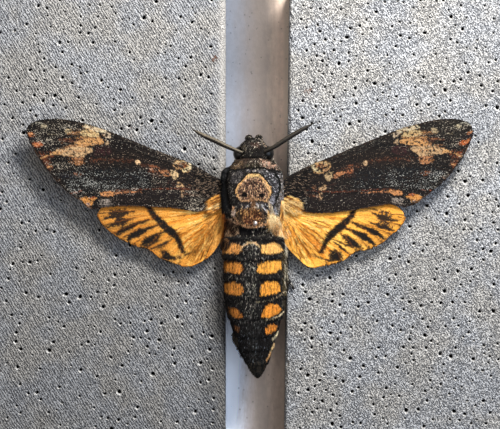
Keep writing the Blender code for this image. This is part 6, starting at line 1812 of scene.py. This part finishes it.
def brushes(tree):
    """Pale brushes at the sides of the waist, hair along the right flank, and scruff round the tip of the abdomen."""
    groups = []

    def brush(outline, count, way, spread, length, width, shades_, lift, level=None, leaf=False):
        u, v = scatter(outline, count)
        x, y = to_mm(u, v, K_BODY)
        root, normal = on_skin(tree, x, y)
        if level is not None:
            root[:, 2] = np.maximum(root[:, 2], level)
        lie = np.stack([way[0] + rng.normal(0, spread, count), way[1] + rng.normal(0, spread, count), np.full(count, way[2] if len(way) > 2 else 0.0)], -1)
        pick = rng.random(count)
        streak = noise(u * 1.1, v * 0.12, 0, 101)
        a, b, c = shades_
        colour = np.where((streak > 0.58)[:, None], a, np.where((streak > 0.34)[:, None], b, c)) * rng.uniform(0.62, 1.30, (count, 1))
        groups.append((root, lie, normal, rng.uniform(*length, count), rng.uniform(*width, count), colour, unwrap(x, y, root[:, 2]), rng.uniform(0.7, 1.3, count) * lift, leaf))

    cream = (lin(250, 228, 180), lin(228, 178, 112), lin(126, 74, 38))
    tan = (lin(214, 178, 140), lin(104, 76, 57), lin(48, 36, 30))
    gold = (lin(250, 196, 110), lin(206, 134, 60), lin(120, 66, 26))
    brush([(269, 212), (276, 214), (283, 219), (286.4, 228), (284.6, 234), (278, 231), (272, 226), (268, 220)], 1300, (0.50, -0.84, 0.30), 0.26, (1.2, 2.6), (0.07, 0.12), cream, 0.50, leaf=True)
    brush([(224, 219), (231, 219), (236, 224), (239, 230), (234, 234), (225, 233)], 1900, (-0.34, -0.9), 0.28, (1.0, 2.1), (0.06, 0.11), tan, 0.26)
    brush([(281, 199), (284.6, 198), (286.4, 206), (286, 218), (282.4, 224), (280, 214), (280.6, 205)], 800, (0.16, -1.0, 0.3), 0.12, (1.3, 2.6), (0.07, 0.12), (lin(255, 222, 156), lin(246, 184, 100), lin(150, 92, 44)), 0.30)
    brush([(220, 212), (225, 212), (227, 222), (225, 234), (221, 232), (219, 220)], 700, (-0.12, -1.0), 0.14, (1.2, 2.2), (0.10, 0.16), (lin(196, 120, 52), lin(150, 82, 32), lin(84, 44, 20)), 0.28)
    brush([(220, 236), (228, 237), (232, 242), (228, 246), (221, 246)], 420, (-0.15, -1.0), 0.2, (1.0, 1.9), (0.09, 0.15), (lin(120, 82, 50), lin(52, 40, 32), lin(24, 20, 18)), 0.32)
    brush([(283, 240), (286, 243), (288, 262), (288, 290), (286, 294), (284, 280), (284, 258)], 360, (0.20, -1.0), 0.34, (0.8, 1.6), (0.05, 0.09), (lin(246, 236, 210), lin(74, 62, 44), lin(22, 18, 15)), 0.45)
    brush([(268, 200), (271, 202), (274, 212), (276, 220), (272, 218), (269, 210)], 110, (0.22, -1.0), 0.12, (0.8, 1.5), (0.07, 0.11), (lin(222, 204, 170), lin(150, 128, 100), lin(80, 66, 54)), 0.24)
    brush([(232, 332), (237, 338), (240, 350), (246, 364), (252, 371), (247, 366), (240, 352), (234, 340)], 520, (-0.30, -1.0), 0.25, (0.7, 1.3), (0.09, 0.15), (lin(66, 60, 50), lin(32, 29, 27), lin(20, 18, 17)), 0.45)
    brush([(246, 364), (268, 360), (263, 370), (258, 376), (252, 374)], 700, (0.02, -1.0), 0.22, (0.8, 1.5), (0.10, 0.16), (lin(58, 52, 44), lin(24, 23, 23), lin(16, 15, 15)), 0.30)
    names = ["brush_waist_right", "brush_waist_left", "hair_flank_right", "hair_flank_left", "hair_hip_left", "hair_side_right", "hair_lappet_right", "scruff_left", "scruff_tip"]
    return [tufts(name, *g[:7], g[7], 0.05, 1.1, 0.75, leaf=g[8]) for name, g in zip(names, groups)]


stage()
for side in ("left", "right"):
    turn = -0.32 if side == "left" else 0.32
    for kind, slot in (("fore", "forewing_scales"), ("hind", "hindwing_scales")):
        made = wing(kind, side, 0.74)
        made.data.materials.append(wing_finish(f"{kind}wing_{side}_finish", kind == "fore", turn))
        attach(made, "root")
for side in ("left", "right"):
    made = panel(side)
    # the left panel's foam is given a darker pale colour than the right's, as painted shade
    made.data.materials.append(foam_finish(f"foam_{side}_finish", 0.87 if side == "left" else 0.985, 0.62 if side == "left" else 0.30))
    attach(made, "root")
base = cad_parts["board_base"]
base.data.materials.clear()
base.data.materials.append(groove_finish())
skin, skin_co, skin_normal, skin_tris = skin_mesh()
tint = finished_shades(*skin_co.T, skin_normal[:, 2], 1)
layer = skin.data.color_attributes.new("Marks", "FLOAT_COLOR", "POINT")
layer.data.foreach_set("color", np.concatenate([tint * 0.75, np.ones((len(tint), 1))], 1).astype(np.float32).ravel())
spots = unwrap(*skin_co.T)
corner = np.zeros(len(skin.data.loops), np.int32)
skin.data.loops.foreach_get("vertex_index", corner)
start = np.zeros(len(skin.data.polygons), np.int32)
count = np.zeros(len(skin.data.polygons), np.int32)
skin.data.polygons.foreach_get("loop_start", start)
skin.data.polygons.foreach_get("loop_total", count)
flat = spots[corner]
owner = np.repeat(np.arange(len(start)), count)
high = np.maximum.reduceat(flat[:, 0], start)
low = np.minimum.reduceat(flat[:, 0], start)
across_seam = (high - low)[owner] > 0.5
flat[across_seam & (flat[:, 0] < 0.5), 0] += 0.96
layer = skin.data.uv_layers.new(name="OFBake")
layer.data.foreach_set("uv", np.clip(flat, 0, 1).astype(np.float32).ravel())
skin.data.materials.append(skin_finish())
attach(skin, "root")
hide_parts("head", "palp_left", "palp_right", "collar", "thorax", "tegula_left", "tegula_right", "metathorax", "abdomen")
fur = coat_finish("coat_finish")
for made in body_coat(skin, skin_co, skin_normal, skin_tris):
    made.data.materials.append(fur)
    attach(made, "root")
tree = BVHTree.FromPolygons([tuple(p) for p in (skin_co * MM).tolist()], skin_tris.tolist())
for made in brushes(tree):
    made.data.materials.append(fur)
    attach(made, "root")
silk = coat_finish("silky_hair_finish", 0.70, 0.0)
for side in ("left", "right"):
    for made, slot in ((hindwing_hair(side, 5200), "hindwing_scales"), (fringe("hind", side), "hindwing_scales"), (fringe("fore", side), "forewing_scales"), *((h, "forewing_scales") for h in forewing_hair(side, 1500))):
        made.data.materials.append(silk if "hair" in made.name or "gold" in made.name else fur)
        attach(made, "root")
feeler_look = cuticle_finish("feeler_finish", 0.55)
leg_look = cuticle_finish("leg_finish", 0.5)
for side in ("left", "right"):
    made = eye(side)
    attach(made, "root")
    for made in feeler(side):
        made.data.materials.append(feeler_look)
        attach(made, "root")
for name in LEGS:
    for made in leg(name):
        made.data.materials.append(leg_look)
        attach(made, "root")
made = insect_pin()
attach(made, "root")
